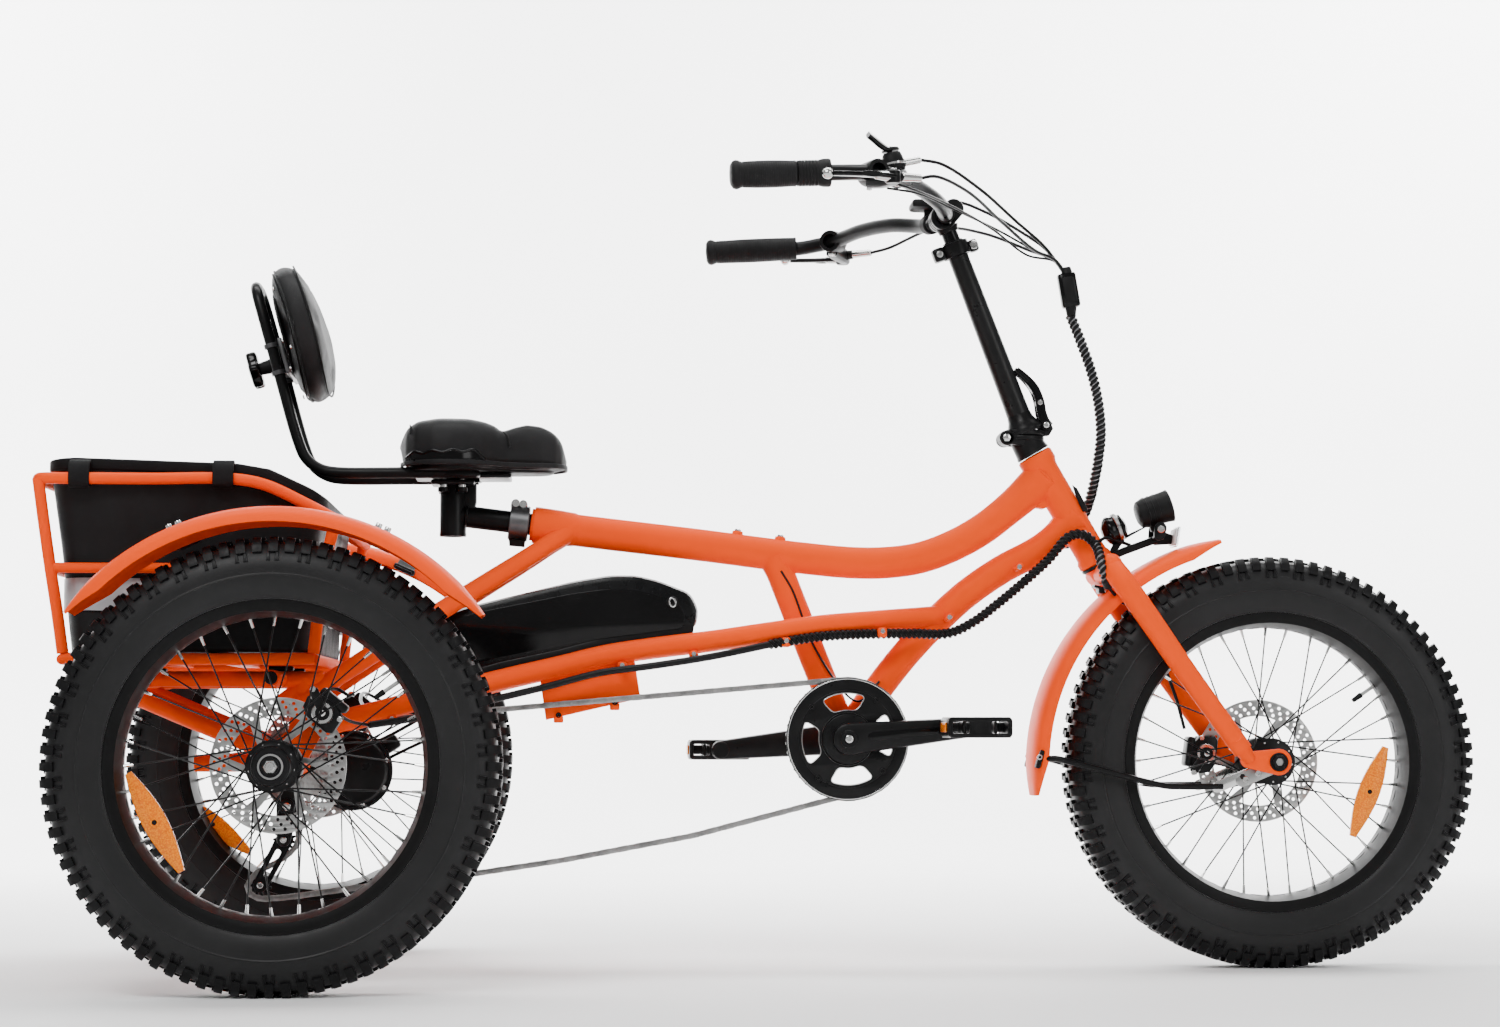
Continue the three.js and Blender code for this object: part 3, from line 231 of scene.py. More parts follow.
WEBBING = surface("nylon_webbing", (0.004, 0.004, 0.0044), (0.008, 0.008, 0.0086), (0.6, 0.75),
                  grain=("voronoi", 900.0, 0.4, 0.0006), gloss=0.25)
WINDOW = surface("rim_tape", (0.02, 0.02, 0.021), (0.035, 0.035, 0.036), (0.4, 0.5),
                 grain=("noise", 600.0, 0.1, 0.0003))
WHITE = surface("white_decal", (0.6, 0.6, 0.59), (0.7, 0.7, 0.69), (0.35, 0.45),
                grain=("noise", 300.0, 0.03, 0.0003))
FABRIC = surface("basket_fabric", (0.0035, 0.0036, 0.004), (0.0075, 0.0076, 0.0082), (0.46, 0.62),
                 grain=("voronoi", 1500.0, 0.35, 0.0004), gloss=0.35, patch=5.0)
AMBER = amber_prisms()
LENS = clear_lens()

# ---------------------------------------------------------------- geometry builders (millimetres)
# Each returns (points, faces): an N x 3 array and a list of index lists.


def smooth_path(points, spacing=6.0, closed=False):
    """Points along a centripetal Catmull-Rom curve through the given ones."""
    p = np.array(points, float)
    p = np.vstack([p[-1], p, p[:2]]) if closed else np.vstack([2 * p[0] - p[1], p, 2 * p[-1] - p[-2]])
    out = []
    for a, b, c, d in zip(p, p[1:], p[2:], p[3:]):
        t0, t1 = 0.0, np.linalg.norm(b - a) ** 0.5
        t2 = t1 + np.linalg.norm(c - b) ** 0.5
        t3 = t2 + np.linalg.norm(d - c) ** 0.5
        count = max(1, math.ceil(np.linalg.norm(c - b) / spacing))
        for t in np.linspace(t1, t2, count, endpoint=False):
            ab = a * (t1 - t) / (t1 - t0) + b * (t - t0) / (t1 - t0)
            bc = b * (t2 - t) / (t2 - t1) + c * (t - t1) / (t2 - t1)
            cd = c * (t3 - t) / (t3 - t2) + d * (t - t2) / (t3 - t2)
            abc = ab * (t2 - t) / (t2 - t0) + bc * (t - t0) / (t2 - t0)
            bcd = bc * (t3 - t) / (t3 - t1) + cd * (t - t1) / (t3 - t1)
            out.append(abc * (t2 - t) / (t2 - t1) + bcd * (t - t1) / (t2 - t1))
    return np.array(out if closed else out + [p[-2]])


def circle(radius, sides=20, start=0.0, end=2 * math.pi):
    closed = end - start > 6.28
    angles = np.linspace(start, end, sides, endpoint=not closed)
    return np.stack([radius * np.cos(angles), radius * np.sin(angles)], 1)


def rounded(half_width, half_height, corner, steps=3):
    """A rectangle outline with round corners, anticlockwise."""
    corner = min(corner, half_width, half_height)
    corners = [(1, 1, 0), (-1, 1, 90), (-1, -1, 180), (1, -1, 270)]
    return np.vstack([
        circle(corner, steps + 1, math.radians(start), math.radians(start + 90))
        + np.array([sx * (half_width - corner), sy * (half_height - corner)])
        for sx, sy, start in corners
    ])


def faceted(half_width, half_height, soft=0.3):
    """An eight-sided tube section whose corners are softened, as on a shaped frame tube."""
    corners = [np.array([math.cos(a), math.sin(a)]) / math.cos(math.pi / 8)
               for a in np.arange(8) * math.pi / 4 + math.pi / 8]
    out = []
    for before, corner, after in zip(corners[-1:] + corners, corners, corners[1:] + corners[:1]):
        a, b = corner + (before - corner) * soft, corner + (after - corner) * soft
        out += [a, (a + b + 2 * corner) / 4, b]
    return np.array(out) * np.array([half_width, half_height])


def grid_faces(rows, columns, wrap_rows=False, wrap_columns=True):
    faces = []
    for i in range(rows if wrap_rows else rows - 1):
        for j in range(columns if wrap_columns else columns - 1):
            a, b = i * columns, (i + 1) % rows * columns
            k = (j + 1) % columns
            faces.append([a + j, a + k, b + k, b + j])
    return faces


def sweep(path, section, scale=None, ref=Y, closed=False):
    """A section carried along a path. ref points along the section's first axis. scale holds one
    number, or a pair for the section's two axes, for each point of the path."""
    path = np.array(path, float)
    section = np.array(section, float)
    count = len(path)
    ahead = np.roll(path, -1, 0) - np.roll(path, 1, 0)
    if not closed:
        ahead[0], ahead[-1] = path[1] - path[0], path[-1] - path[-2]
    ahead /= np.linalg.norm(ahead, axis=1)[:, None]
    side = np.array(ref, float) - ahead * (ahead @ np.array(ref, float))[:, None]
    side /= np.linalg.norm(side, axis=1)[:, None]
    up = np.cross(ahead, side)
    sizes = np.ones((count, 2)) if scale is None else np.array(scale, float).reshape(count,
                                                                                     -1) * np.ones((1, 2))
    rings = (path[:, None] + side[:, None] * (section[None, :, :1] * sizes[:, None, :1])
             + up[:, None] * (section[None, :, 1:] * sizes[:, None, 1:]))
    faces = grid_faces(count, len(section), wrap_rows=closed)
    if not closed:
        faces += [list(range(len(section)))[::-1],
                  list(range((count - 1) * len(section), count * len(section)))]
    return rings.reshape(-1, 3), faces


def flare(count, amount=0.2, share=0.12, start=True, end=True):
    """Scale factors that widen a tube at its welded ends."""
    t = np.linspace(0, 1, count)
    out = np.ones(count)
    if start:
        out += amount * np.clip(1 - t / share, 0, 1) ** 2
    if end:
        out += amount * np.clip((t - 1 + share) / share, 0, 1) ** 2
    return out


def pipe(points, radius, sides=20, spacing=6.0, ref=Y, ends=(0, 0), closed=False):
    """A round tube on a smooth curve; ends flare it where it is welded."""
    path = smooth_path(points, spacing, closed)
    scale = flare(len(path), ends[0], start=True, end=False) + flare(len(path), ends[1], start=False) - 1
    return sweep(path, circle(radius, sides), scale, ref, closed)


def turned(profile, centre=(0, 0, 0), axis=Y, segments=64, start=None):
    """A profile of (radius, distance along the axis), turned round it. The ends meet the axis or
    each other."""
    axis = np.array(axis, float) / np.linalg.norm(axis)
    first = X if abs(axis @ X) < 0.9 else Z
    u = first - axis * (axis @ first)
    u /= np.linalg.norm(u)
    v = np.cross(axis, u)
    angles = np.linspace(0, 2 * math.pi, segments, endpoint=False) + (start or 0.0)
    turn = np.cos(angles)[:, None] * u + np.sin(angles)[:, None] * v
    profile = np.array(profile, float)
    closed = np.allclose(profile[0], profile[-1])
    if closed:
        profile = profile[:-1]
    points = (np.array(centre, float) + profile[None, :, 1:] * axis
              + turn[:, None] * profile[None, :, :1]).reshape(-1, 3)
    return points, grid_faces(segments, len(profile), wrap_rows=True, wrap_columns=closed)


def rod(a, b, radius, end_radius=None, sides=24, edge=0.8, bore=0.0):
    """A straight round bar from a to b with chamfered ends, hollow if it has a bore."""
    a, b = np.array(a, float), np.array(b, float)
    length = np.linalg.norm(b - a)
    end_radius = radius if end_radius is None else end_radius
    edge = min(edge, length / 3)
    outer = [(radius - edge, 0), (radius, edge), (end_radius, length - edge), (end_radius - edge, length)]
    if bore:
        profile = [(bore, 0), *outer, (bore, length), (bore, 0)]
    else:
        profile = [(0, 0), *outer, (0, length)]
    return turned(profile, a, b - a, sides)


def disc(x, z, y0, y1, radius, sides=32, edge=0.8, bore=0.0):
    """A round disc or bar about an axis parallel to Y."""
    return rod((x, y0, z), (x, y1, z), radius, radius, sides, edge, bore)


def basis(origin, u, v):
    """Places local (x, y, z) at origin with x along u, y along v and z across both."""
    u, v = np.array(u, float), np.array(v, float)
    return np.array(origin, float), np.stack([u, v, np.cross(u, v)])


def placed(geometry, place):
    points, faces = geometry
    origin, axes = place
    return origin + points @ axes, faces


def moved(geometry, offset):
    return geometry[0] + np.array(offset, float), geometry[1]


def slab(outlines, thickness, place, edge=0.6):
    """A flat plate with holes: the first outline is its edge and the others are holes. It is
    centred on its plane, with the edges chamfered."""
    curve = bpy.data.curves.new("outline", "CURVE")
    curve.dimensions = "2D"
    curve.fill_mode = "BOTH"
    edge = min(edge, thickness * 0.45)
    curve.extrude = thickness / 2 - edge
    curve.bevel_depth = edge
    curve.bevel_resolution = 1
    curve.offset = -edge
    for outline in outlines:
        spline = curve.splines.new("POLY")
        spline.points.add(len(outline) - 1)
        spline.use_cyclic_u = True
        for point, (x, y) in zip(spline.points, outline):
            point.co = (x, y, 0, 1)
    holder = bpy.data.objects.new("outline", curve)
    bpy.context.scene.collection.objects.link(holder)
    bpy.context.view_layer.update()
    mesh = bpy.data.meshes.new_from_object(holder.evaluated_get(bpy.context.evaluated_depsgraph_get()))
    bpy.data.objects.remove(holder)
    bpy.data.curves.remove(curve)
    welded = bmesh.new()
    welded.from_mesh(mesh)
    bmesh.ops.remove_doubles(welded, verts=welded.verts, dist=1e-4)
    bmesh.ops.recalc_face_normals(welded, faces=welded.faces)
    points = np.array([v.co for v in welded.verts])
    faces = [[v.index for v in face.verts] for face in welded.faces]
    welded.free()
    bpy.data.meshes.remove(mesh)
    return placed((points, faces), place)


def side_plate(outlines, y0, y1, edge=0.6):
    """A plate whose outlines are in XZ, with its thickness from y0 to y1."""
    middle, thickness = (y0 + y1) / 2, abs(y1 - y0)
    flipped = [np.array(outline, float) for outline in outlines]
    return slab(flipped, thickness, basis((0, middle, 0), X, Z), edge)


def stadium(a, b, radius, end_radius=None, steps=8):
    """The outline of a link with round ends from point a to point b, both 2D."""
    a, b = np.array(a, float), np.array(b, float)
    end_radius = radius if end_radius is None else end_radius
    angle = math.atan2(*(b - a)[::-1])
    quarter = math.pi / 2
    return np.vstack([
        circle(radius, steps, angle + quarter, angle + 3 * quarter) + a,
        circle(end_radius, steps, angle - quarter, angle + quarter) + b,
    ])


def block(size, place, edge=1.5, steps=2):
    """A box with rounded edges, centred on its place."""
    half = np.array(size, float) / 2
    edge = min(edge, half.min() * 0.95)
    outline = rounded(half[0], half[1], edge * 1.4, steps + 1)
    levels = [(-half[2], edge), (-half[2] + edge * 0.3, edge * 0.3), (-half[2] + edge, 0)]
    levels += [(-z, inset) for z, inset in reversed(levels)]
    path = [(0, 0, z) for z, _ in levels]
    scale = [((half[0] - inset) / half[0], (half[1] - inset) / half[1]) for _, inset in levels]
    return placed(sweep(path, outline, scale, ref=X), place)


def ball(centre, radius, segments=24, squash=1.0):
    angles = np.linspace(-math.pi / 2, math.pi / 2, segments // 2 + 1)
    profile = [(max(0.0, radius * math.cos(a)), radius * squash * math.sin(a)) for a in angles]
    return turned(profile, centre, Z, segments)


def bolt(centre, axis, radius, height, hexagon=False):
    """A bolt head: a socket cap, or a hexagon."""
    if hexagon:
        profile = [(0, 0), (radius, 0), (radius, height * 0.85), (radius * 0.88, height), (0, height)]
        return turned(profile, centre, axis, 6)
    profile = [
        (0, 0), (radius, 0), (radius, height * 0.8), (radius * 0.86, height), (radius * 0.52, height),
        (radius * 0.48, height * 0.45), (0, height * 0.45),
    ]
    return turned(profile, centre, axis, 18)


def ring_of(count, radius, centre_x=0.0, centre_z=0.0, start=0.0):
    """Points spaced evenly round a circle in XZ, with the angle of each."""
    for i in range(count):
        angle = start + 2 * math.pi * i / count
        yield angle, centre_x + radius * math.cos(angle), centre_z + radius * math.sin(angle)


# ---------------------------------------------------------------- pieces


def build_mesh(name, parts, smooth_angle=38):
    """One mesh from (geometry, material) pairs, in metres."""
    points, faces, indices, materials = [], [], [], []
    start = 0
    for (part_points, part_faces), material in parts:
        if material not in materials:
            materials.append(material)
        points.append(np.array(part_points) * 0.001)
        faces += [[start + i for i in face] for face in part_faces]
        indices += [materials.index(material)] * len(part_faces)
        start += len(part_points)
    mesh = bpy.data.meshes.new(name)
    mesh.from_pydata(np.vstack(points).tolist(), [], faces)
    for material in materials:
        mesh.materials.append(material)
    mesh.polygons.foreach_set("material_index", indices)
    mesh.validate()
    clean = bmesh.new()
    clean.from_mesh(mesh)
    bmesh.ops.remove_doubles(clean, verts=clean.verts, dist=2e-6)
    bmesh.ops.recalc_face_normals(clean, faces=clean.faces)
    clean.to_mesh(mesh)
    clean.free()
    mesh.polygons.foreach_set("use_smooth", [True] * len(mesh.polygons))
    mesh.set_sharp_from_angle(angle=math.radians(smooth_angle))
    return mesh


def piece(name, body, parts, replaces=(), mesh=None, at=(0, 0, 0), smooth_angle=38):
    """Makes a named piece, rides it on its body and hides the parts it replaces."""
    mesh = mesh or build_mesh(name, parts, smooth_angle)
    made = bpy.data.objects.new(name, mesh)
    made.location = Vector(at) * 0.001
    bpy.context.scene.collection.objects.link(made)
    if body:
        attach(made, body)
    if replaces:
        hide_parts(*replaces)
    return made


def joined(geometries):
    """Several geometries as one."""
    points, faces, start = [], [], 0
    for part_points, part_faces in geometries:
        points.append(part_points)
        faces += [[start + i for i in face] for face in part_faces]
        start += len(part_points)
    return np.vstack(points), faces


def oval(x, y, half_length, half_width, angle=0.0, sides=20):
    """The outline of an ellipse in a plane."""
    points = circle(1.0, sides) * np.array([half_length, half_width])
    turn = np.array([[math.cos(angle), math.sin(angle)], [-math.sin(angle), math.cos(angle)]])
    return points @ turn + np.array([x, y])


def arc_outline(radius, x, z, start, end, steps):
    return circle(radius, steps, start, end) + np.array([x, z])


def flat_circle(x, z, radius, sides=32):
    return circle(radius, sides) + np.array([x, z])


# ---------------------------------------------------------------- wheels

TREAD_COUNT = 84
SPOKE_COUNT = 36
CARCASS = [
    (206.5, 33), (210, 39), (222, 45.5), (240, 49), (256, 49.3), (268, 47), (279, 42), (287, 34),
    (291, 22), (292, 8),
]
EDGE_KNOB = [(276, 42.5), (278, 46.5), (286, 44.5), (295, 37.5), (297, 33), (297, 26), (288, 26), (282, 37)]
SHOULDER_KNOB = [(266, 46.5), (266.6, 49), (274, 47.5), (279, 44), (277, 41)]
CENTRE_KNOB = [(289, 20), (297, 20), (297, 4), (289, 4)]


def knob(section, angle, half_angle, taper=0.82):
    """A tread block: a section in radius and width, spread over a small angle."""
    rings = []
    middle = np.mean(section, 0)
    for turn in (-half_angle, half_angle):
        for radius, y in section:
            a = angle + turn * (taper if radius > middle[0] else 1.0)
            rings.append((radius * math.cos(a), y, radius * math.sin(a)))
    count = len(section)
    faces = [[i, (i + 1) % count, count + (i + 1) % count, count + i] for i in range(count)]
    faces += [list(range(count))[::-1], list(range(count, 2 * count))]
    return np.array(rings), faces


def tyre(name, body, node, at):
    sidewall = CARCASS + [(r, -y) for r, y in reversed(CARCASS)]
    lining = [(206.5, -28), (232, -44), (262, -43), (284, -20), (284, 20), (262, 43), (232, 44),
              (206.5, 28)]
    shell = turned(sidewall + lining + sidewall[:1], segments=144)
    ribs = [turned([(r, y), (r + 1.6, y + 0.8 * s), (r + 3.2, y), (r, y)], segments=144)
            for r, y in ((247, 49.2),) for s in (1, -1) for y in (y * s,)]
    blocks = []
    for i in range(TREAD_COUNT):
        angle = 2 * math.pi * i / TREAD_COUNT
        half = 0.5 * 2 * math.pi / TREAD_COUNT
        for side in (1, -1):
            flip = lambda section: [(r, side * y) for r, y in section]
            blocks.append(knob(flip(EDGE_KNOB), angle, 0.58 * half))
            if i % 2:
                blocks.append(knob(flip(SHOULDER_KNOB), angle - 0.5 * half, 0.3 * half, 0.5))
                blocks.append(knob(flip(SHOULDER_KNOB), angle + 0.6 * half, 0.26 * half, 0.5))
            blocks.append(knob(flip(CENTRE_KNOB), angle + side * 0.4 * half, 0.55 * half))
    parts = [(shell, TYRE), *[(rib, TYRE) for rib in ribs], (joined(blocks), TREAD)]
    piece(name, body, parts, [node], at=at, smooth_angle=32)


def ring_place(radius, angle):
    """The place of a flat detail on the inner face of the rim."""
    outward = vec(math.cos(angle), 0, math.sin(angle))
    return basis(outward * (radius - 7), vec(-math.sin(angle), 0, math.cos(angle)), Y)


def rim():
    """The black rim, bright steel rings at its edges that stand as its painted highlight lines, and the
    ovals of rim tape that show between the spokes.
    """
    profile = [
        (216.5, 42.5), (216.5, 40), (205, 36), (199, 13), (199, -13), (205, -36), (216.5, -40),
        (216.5, -42.5), (213, -43), (201, -39), (194.5, -15), (194.5, 15), (201, 39), (213, 43),
        (216.5, 42.5),
    ]
    # Bright steel rings on the rim's edges: painted highlight, standing in for the thin highlight lines
    # along the glossy black rim.
    edge = [(216.6, 43), (217.4, 42), (217.4, 40.4), (216.4, 40), (216.6, 43)]
    edges = [turned([(r, side * y) for r, y in edge], segments=144) for side in (1, -1)]
    parts = [(turned(profile, segments=144), RIM_BLACK), *[(ring, STEEL) for ring in edges]]
    for i in range(SPOKE_COUNT):
        place = ring_place(201.5, 2 * math.pi * (i + 0.5) / SPOKE_COUNT)
        parts.append((slab([oval(0, 0, 9, 6)], 1.6, place, 0.5), WINDOW))
    return parts


def spokes_and_nipples():
    spokes, nipples, heads = [], [], []
    for i in range(SPOKE_COUNT):
        side = 1 if i % 2 == 0 else -1
        lean = 1.08 if i % 4 < 2 else -1.08
        rim_angle = 2 * math.pi * i / SPOKE_COUNT
        hub_angle = rim_angle + lean
        at = lambda radius, angle, y: vec(radius * math.cos(angle), y * side, radius * math.sin(angle))
        hub_end, rim_end = at(29, hub_angle, 35.5 if lean > 0 else 32.5), at(195, rim_angle, 6)
        spokes.append(rod(hub_end, rim_end, 1.15, 1.15, 8, 0.1))
        inner = rim_end + (hub_end - rim_end) / np.linalg.norm(hub_end - rim_end) * 13
        nipples.append(rod(inner, rim_end, 1.9, 2.4, 8, 0.4))
        heads.append(rod(hub_end + Y * side * 0.5, hub_end + Y * side * 3, 2.3, 1.8, 8, 0.4))
    return [(joined(spokes), BLACK), (joined(nipples), SILVER), (joined(heads), SILVER)]


def valve():
    base = vec(math.cos(0.6), 0, math.sin(0.6))
    return [(rod(base * 196, base * 160, 2.8, 2.6, 12), STEEL),
            (rod(base * 172, base * 156, 4.2, 3.2, 12), PLASTIC)]


FRONT_HUB = [
    (7, -56), (16, -56), (18, -54), (18, -40), (24, -38), (33, -37), (34, -35.5), (33, -33), (24, -29),
    (20, -24), (18, 0), (20, 24), (24, 29), (33, 33), (34, 35.5), (33, 37), (22, 38), (22, 55), (7, 55),
    (7, -56),
]


def rear_hub(side):
    """The outer hub with its cap, on the half shaft that reaches in to the differential."""
    profile = [
        (0, -374), (12, -374), (12, -59), (20, -59), (22, -57), (22, -37), (33, -37), (34, -35.5),
               (33, -33),
        (24, -29), (20, -22), (19, 0), (20, 22), (24, 29), (33, 32.5), (34, 34.5), (32, 37), (27, 40),
        (25, 51), (22, 53.5), (11, 53.5), (11, 55), (0, 55),
    ]
    parts = [(turned([(r, side * y) for r, y in profile], segments=40), BLACK)]
    for reach, radius, sides in ((58, 9.6, 6), (62, 6.4, 20)):
        nut = [(0, side * 54), (radius, side * 54), (radius, side * (reach - 1)),
               (radius - 1, side * reach)]
        parts.append((turned([*nut, (0, side * reach)], segments=sides), SILVER))
    parts.append((turned([(14, side * 53), (17, side * 53), (16.4, side * 54.6), (14.4, side * 54.6),
                          (14, side * 53)], segments=36), STEEL))
    return parts


def rotor_disc(y, inner_radius=22.5):
    """A brake disc with six swept arms and rows of drilled holes."""
    outlines = [circle(90, 96), circle(inner_radius, 32)]
    for i in range(6):
        start, end = math.radians(60 * i + 5), math.radians(60 * i + 52)
        twist = math.radians(14)
        outlines.append(np.vstack([circle(66, 8, start, end),
                                   circle(34, 6, start + twist, end + twist)[::-1]]))
    for row, (radius, count) in enumerate(((71, 36), (77.5, 36), (84, 36))):
        for angle, _, _ in ring_of(count, 1.0, start=row * 0.058):
            outlines.append(circle(2.5, 8) + radius * np.array([math.cos(angle), math.sin(angle)]))
    disc_plate = slab(outlines, 2.4, basis((0, y, 0), X, Z), 0.3)
    bolts = [bolt((x, y, z), Y * (-1 if y < 0 else 1), 2.6, 2.6) for _, x, z in ring_of(6, 27.0)]
    return disc_plate, joined(bolts)


def front_wheel():
    at = (FRONT_AXLE_X, 0, AXLE_Z)
    tyre("tyre_front", "front_wheel_set", "front_tyre", at)
    parts = rim() + spokes_and_nipples() + valve() + [(turned(FRONT_HUB, segments=40), BLACK)]
    parts.append((turned([(17, -56.2), (12.5, -57), (9, -56.6), (9, -54), (17, -54), (17, -56.2)],
                         segments=32), STEEL))
    piece("wheel_front", "front_wheel_set", parts, ["front_wheel"], at=at)
    plate, bolts = rotor_disc(58)
    piece("rotor_front", "front_wheel_set", [(plate, STEEL), (bolts, BLACK)],
          ["front_rotor"], at=at)


def rear_wheel(side, name):
    body = f"rear_wheel_set_{name}"
    at = (REAR_AXLE_X, side * HALF_TRACK, AXLE_Z)
    tyre(f"tyre_rear_{name}", body, f"rear_tyre_{name}", at)
    parts = rim() + spokes_and_nipples() + valve() + rear_hub(side)
    piece(f"wheel_rear_{name}", body, parts, [f"rear_wheel_{name}"], at=at)
    plate, bolts = rotor_disc(-60 * side)
    piece(f"rotor_rear_{name}", body, [(plate, STEEL), (bolts, BLACK)],
          [f"rear_rotor_{name}"], at=at)


def wheel_reflectors():
    """One amber reflector clipped between the spokes of each wheel."""
    places = [
        ("rear_wheel_set_right", (REAR_AXLE_X, -HALF_TRACK, AXLE_Z), [(-866, 287), (-798, 163)], -12),
        ("rear_wheel_set_left", (REAR_AXLE_X, HALF_TRACK, AXLE_Z), [(-900, 238), (-791, 154)], -12),
        ("front_wheel_set", (FRONT_AXLE_X, 0, AXLE_Z), [(842, 190), (891, 316)], -14),
    ]
    for i, (body, centre, (a, b), y) in enumerate(places):
        a, b = np.array(a, float), np.array(b, float)
        middle = (a + b) / 2
        along = (b - a) / np.linalg.norm(b - a)
        across = np.array([-along[1], along[0]])
        half = np.linalg.norm(b - a) / 2 + 2
        bow = [(half * (2 * t - 1), 4.5 + 11.5 * math.sin(math.pi * t)) for t in np.linspace(0, 1, 14)]
        outline = np.array(bow + [(-u, -w) for u, w in bow])
        place = basis((middle[0], centre[1] + y, middle[1]), (along[0], 0, along[1]),
                      (across[0], 0, across[1]))
        ribs = [(block((1.4, 26 - abs(u) * 0.3, 1.2), (place[0] + place[1][0] * u - Y * 4.2, place[1]),
                       0.4), AMBER)
                for u in np.linspace(-half * 0.7, half * 0.7, 13) if abs(u) > 9]
        parts = [
            (slab([outline], 8, place, 1.8), AMBER), *ribs,
            (disc(middle[0], middle[1], centre[1] + y - 6, centre[1] + y, 7, 28), AMBER),
            (disc(middle[0], middle[1], centre[1] + y - 7, centre[1] + y, 3.4, 20), PLASTIC),
        ]
        piece(f"reflector_{i + 1}", body, parts)


# ---------------------------------------------------------------- brakes and fenders


def caliper(name, body, node, x, z, axle_x, rotor_y, out):
    """A black cable caliper that straddles the disc, with a silver adjuster and its arm."""
    radial = vec(x - axle_x, 0, z - AXLE_Z)
    radial /= np.linalg.norm(radial)
    across = np.cross(radial, Y)
    place = basis((x, rotor_y, z), across, radial)
    shape = [(-27, -12), (-20, -17), (14, -17), (26, -10), (30, 4), (24, 17), (-6, 20), (-24, 12)]
    face = rotor_y + out * 3
    parts = []
    for near, far in ((3.2, 17), (-3.2, -16)):
        middle = (near + far) / 2 * out
        slab_place = (place[0] + Y * middle, place[1])
        parts.append((slab([shape], abs(far - near), slab_place, 2.2), BLACK))
    bridge = (place[0] + radial * 22, place[1])
    parts.append((block((44, 12, 30), bridge, 3), BLACK))
    parts += [
        (disc(x, z, face + out * 13, face + out * 22, 14.5, 36, 1.2), SILVER),
        (disc(x, z, face + out * 22, face + out * 25, 9.5, 28, 1.0), BLACK),
        (bolt((x, face + out * 25, z), Y * out, 4, 1.6), SILVER),
    ]
    arm_end = np.array([x, face + out * 20, z]) + across * 30 + radial * 16
    arm = [vec(x, face + out * 19, z), vec(x, face + out * 20, z) + across * 18 + radial * 10, arm_end]
    parts.append((sweep(smooth_path(arm, 3), rounded(3, 6, 2), ref=Y), BLACK))
    parts.append((bolt(arm_end + Y * out * 3, Y * out, 4.5, 3, True), SILVER))
    for offset in (-22, 24):
        centre = place[0] + across * offset + radial * 8 + Y * out * 16
        parts.append((bolt(centre, Y * out, 3.6, 3), SILVER))
    piece(name, body, parts, [node])


FENDER_SECTION = [
    (-1.0, -20), (-0.97, -12), (-0.86, -4), (-0.5, 1.6), (0, 3), (0.5, 1.6), (0.86, -4), (0.97, -12),
                  (1.0, -20),
    (0.95, -20), (0.92, -12.5), (0.82, -6), (0.48, -0.8), (0, 0.6), (-0.48, -0.8), (-0.82, -6),
                  (-0.92, -12.5),
    (-0.95, -20),
]


def fender_shell(x, y, z, radius, half_width, start, end, tip, depth=1.0):
    """A crowned strip bent round the tyre, with tips that narrow over the given angle."""
    rows = int((end - start) / 1.5)
    rings = []
    for angle in np.linspace(start, end, rows):
        near_tip = min(1.0, min(angle - start, end - angle) / tip)
        width = half_width * (0.6 + 0.4 * math.sin(near_tip * math.pi / 2))
        a = math.radians(angle)
        for across, rise in FENDER_SECTION:
            r = radius + rise * depth * (0.3 + 0.7 * near_tip)
            rings.append((x + r * math.cos(a), y + across * width, z + r * math.sin(a)))
    columns = len(FENDER_SECTION)
    faces = grid_faces(rows, columns)
    faces += [list(range(columns))[::-1], list(range((rows - 1) * columns, rows * columns))]
    return np.array(rings), faces


def at_angle(x, z, radius, degrees):
    a = math.radians(degrees)
    return x + radius * math.cos(a), z + radius * math.sin(a)


def rear_fender(side, name):
    y = side * HALF_TRACK
    shell = fender_shell(REAR_AXLE_X, y, AXLE_Z, 336, 60, 36, 143.5, 9)
    parts = [(shell, ORANGE)]
    for angle in (66, 113):
        x, z = at_angle(REAR_AXLE_X, AXLE_Z, 334, angle)
        up = vec(math.cos(math.radians(angle)), 0, math.sin(math.radians(angle)))
        along = np.cross(up, Y)
        strap = [vec(x, y, z), vec(x, y - side * 50, z) - up * 1, vec(x, side * 316, z) - up * 14,
                 vec(x, side * 300, z) - up * 16]
        parts.append((sweep(smooth_path(strap, 6), rounded(14, 1.8, 1.2), ref=along), PLASTIC))
        clip = basis((x, side * 322, z) - up * 14, along, Y)
        parts.append((block((34, 26, 9), clip, 2.5), PLASTIC))
        for offset in (-7, 7):
            parts.append((bolt(vec(x, y, z) + up * 4 + along * offset * 0.9, up, 4.6, 6.5), SILVER))
    piece(f"fender_rear_{name}", "frame", parts, [f"rear_fender_{name}"])


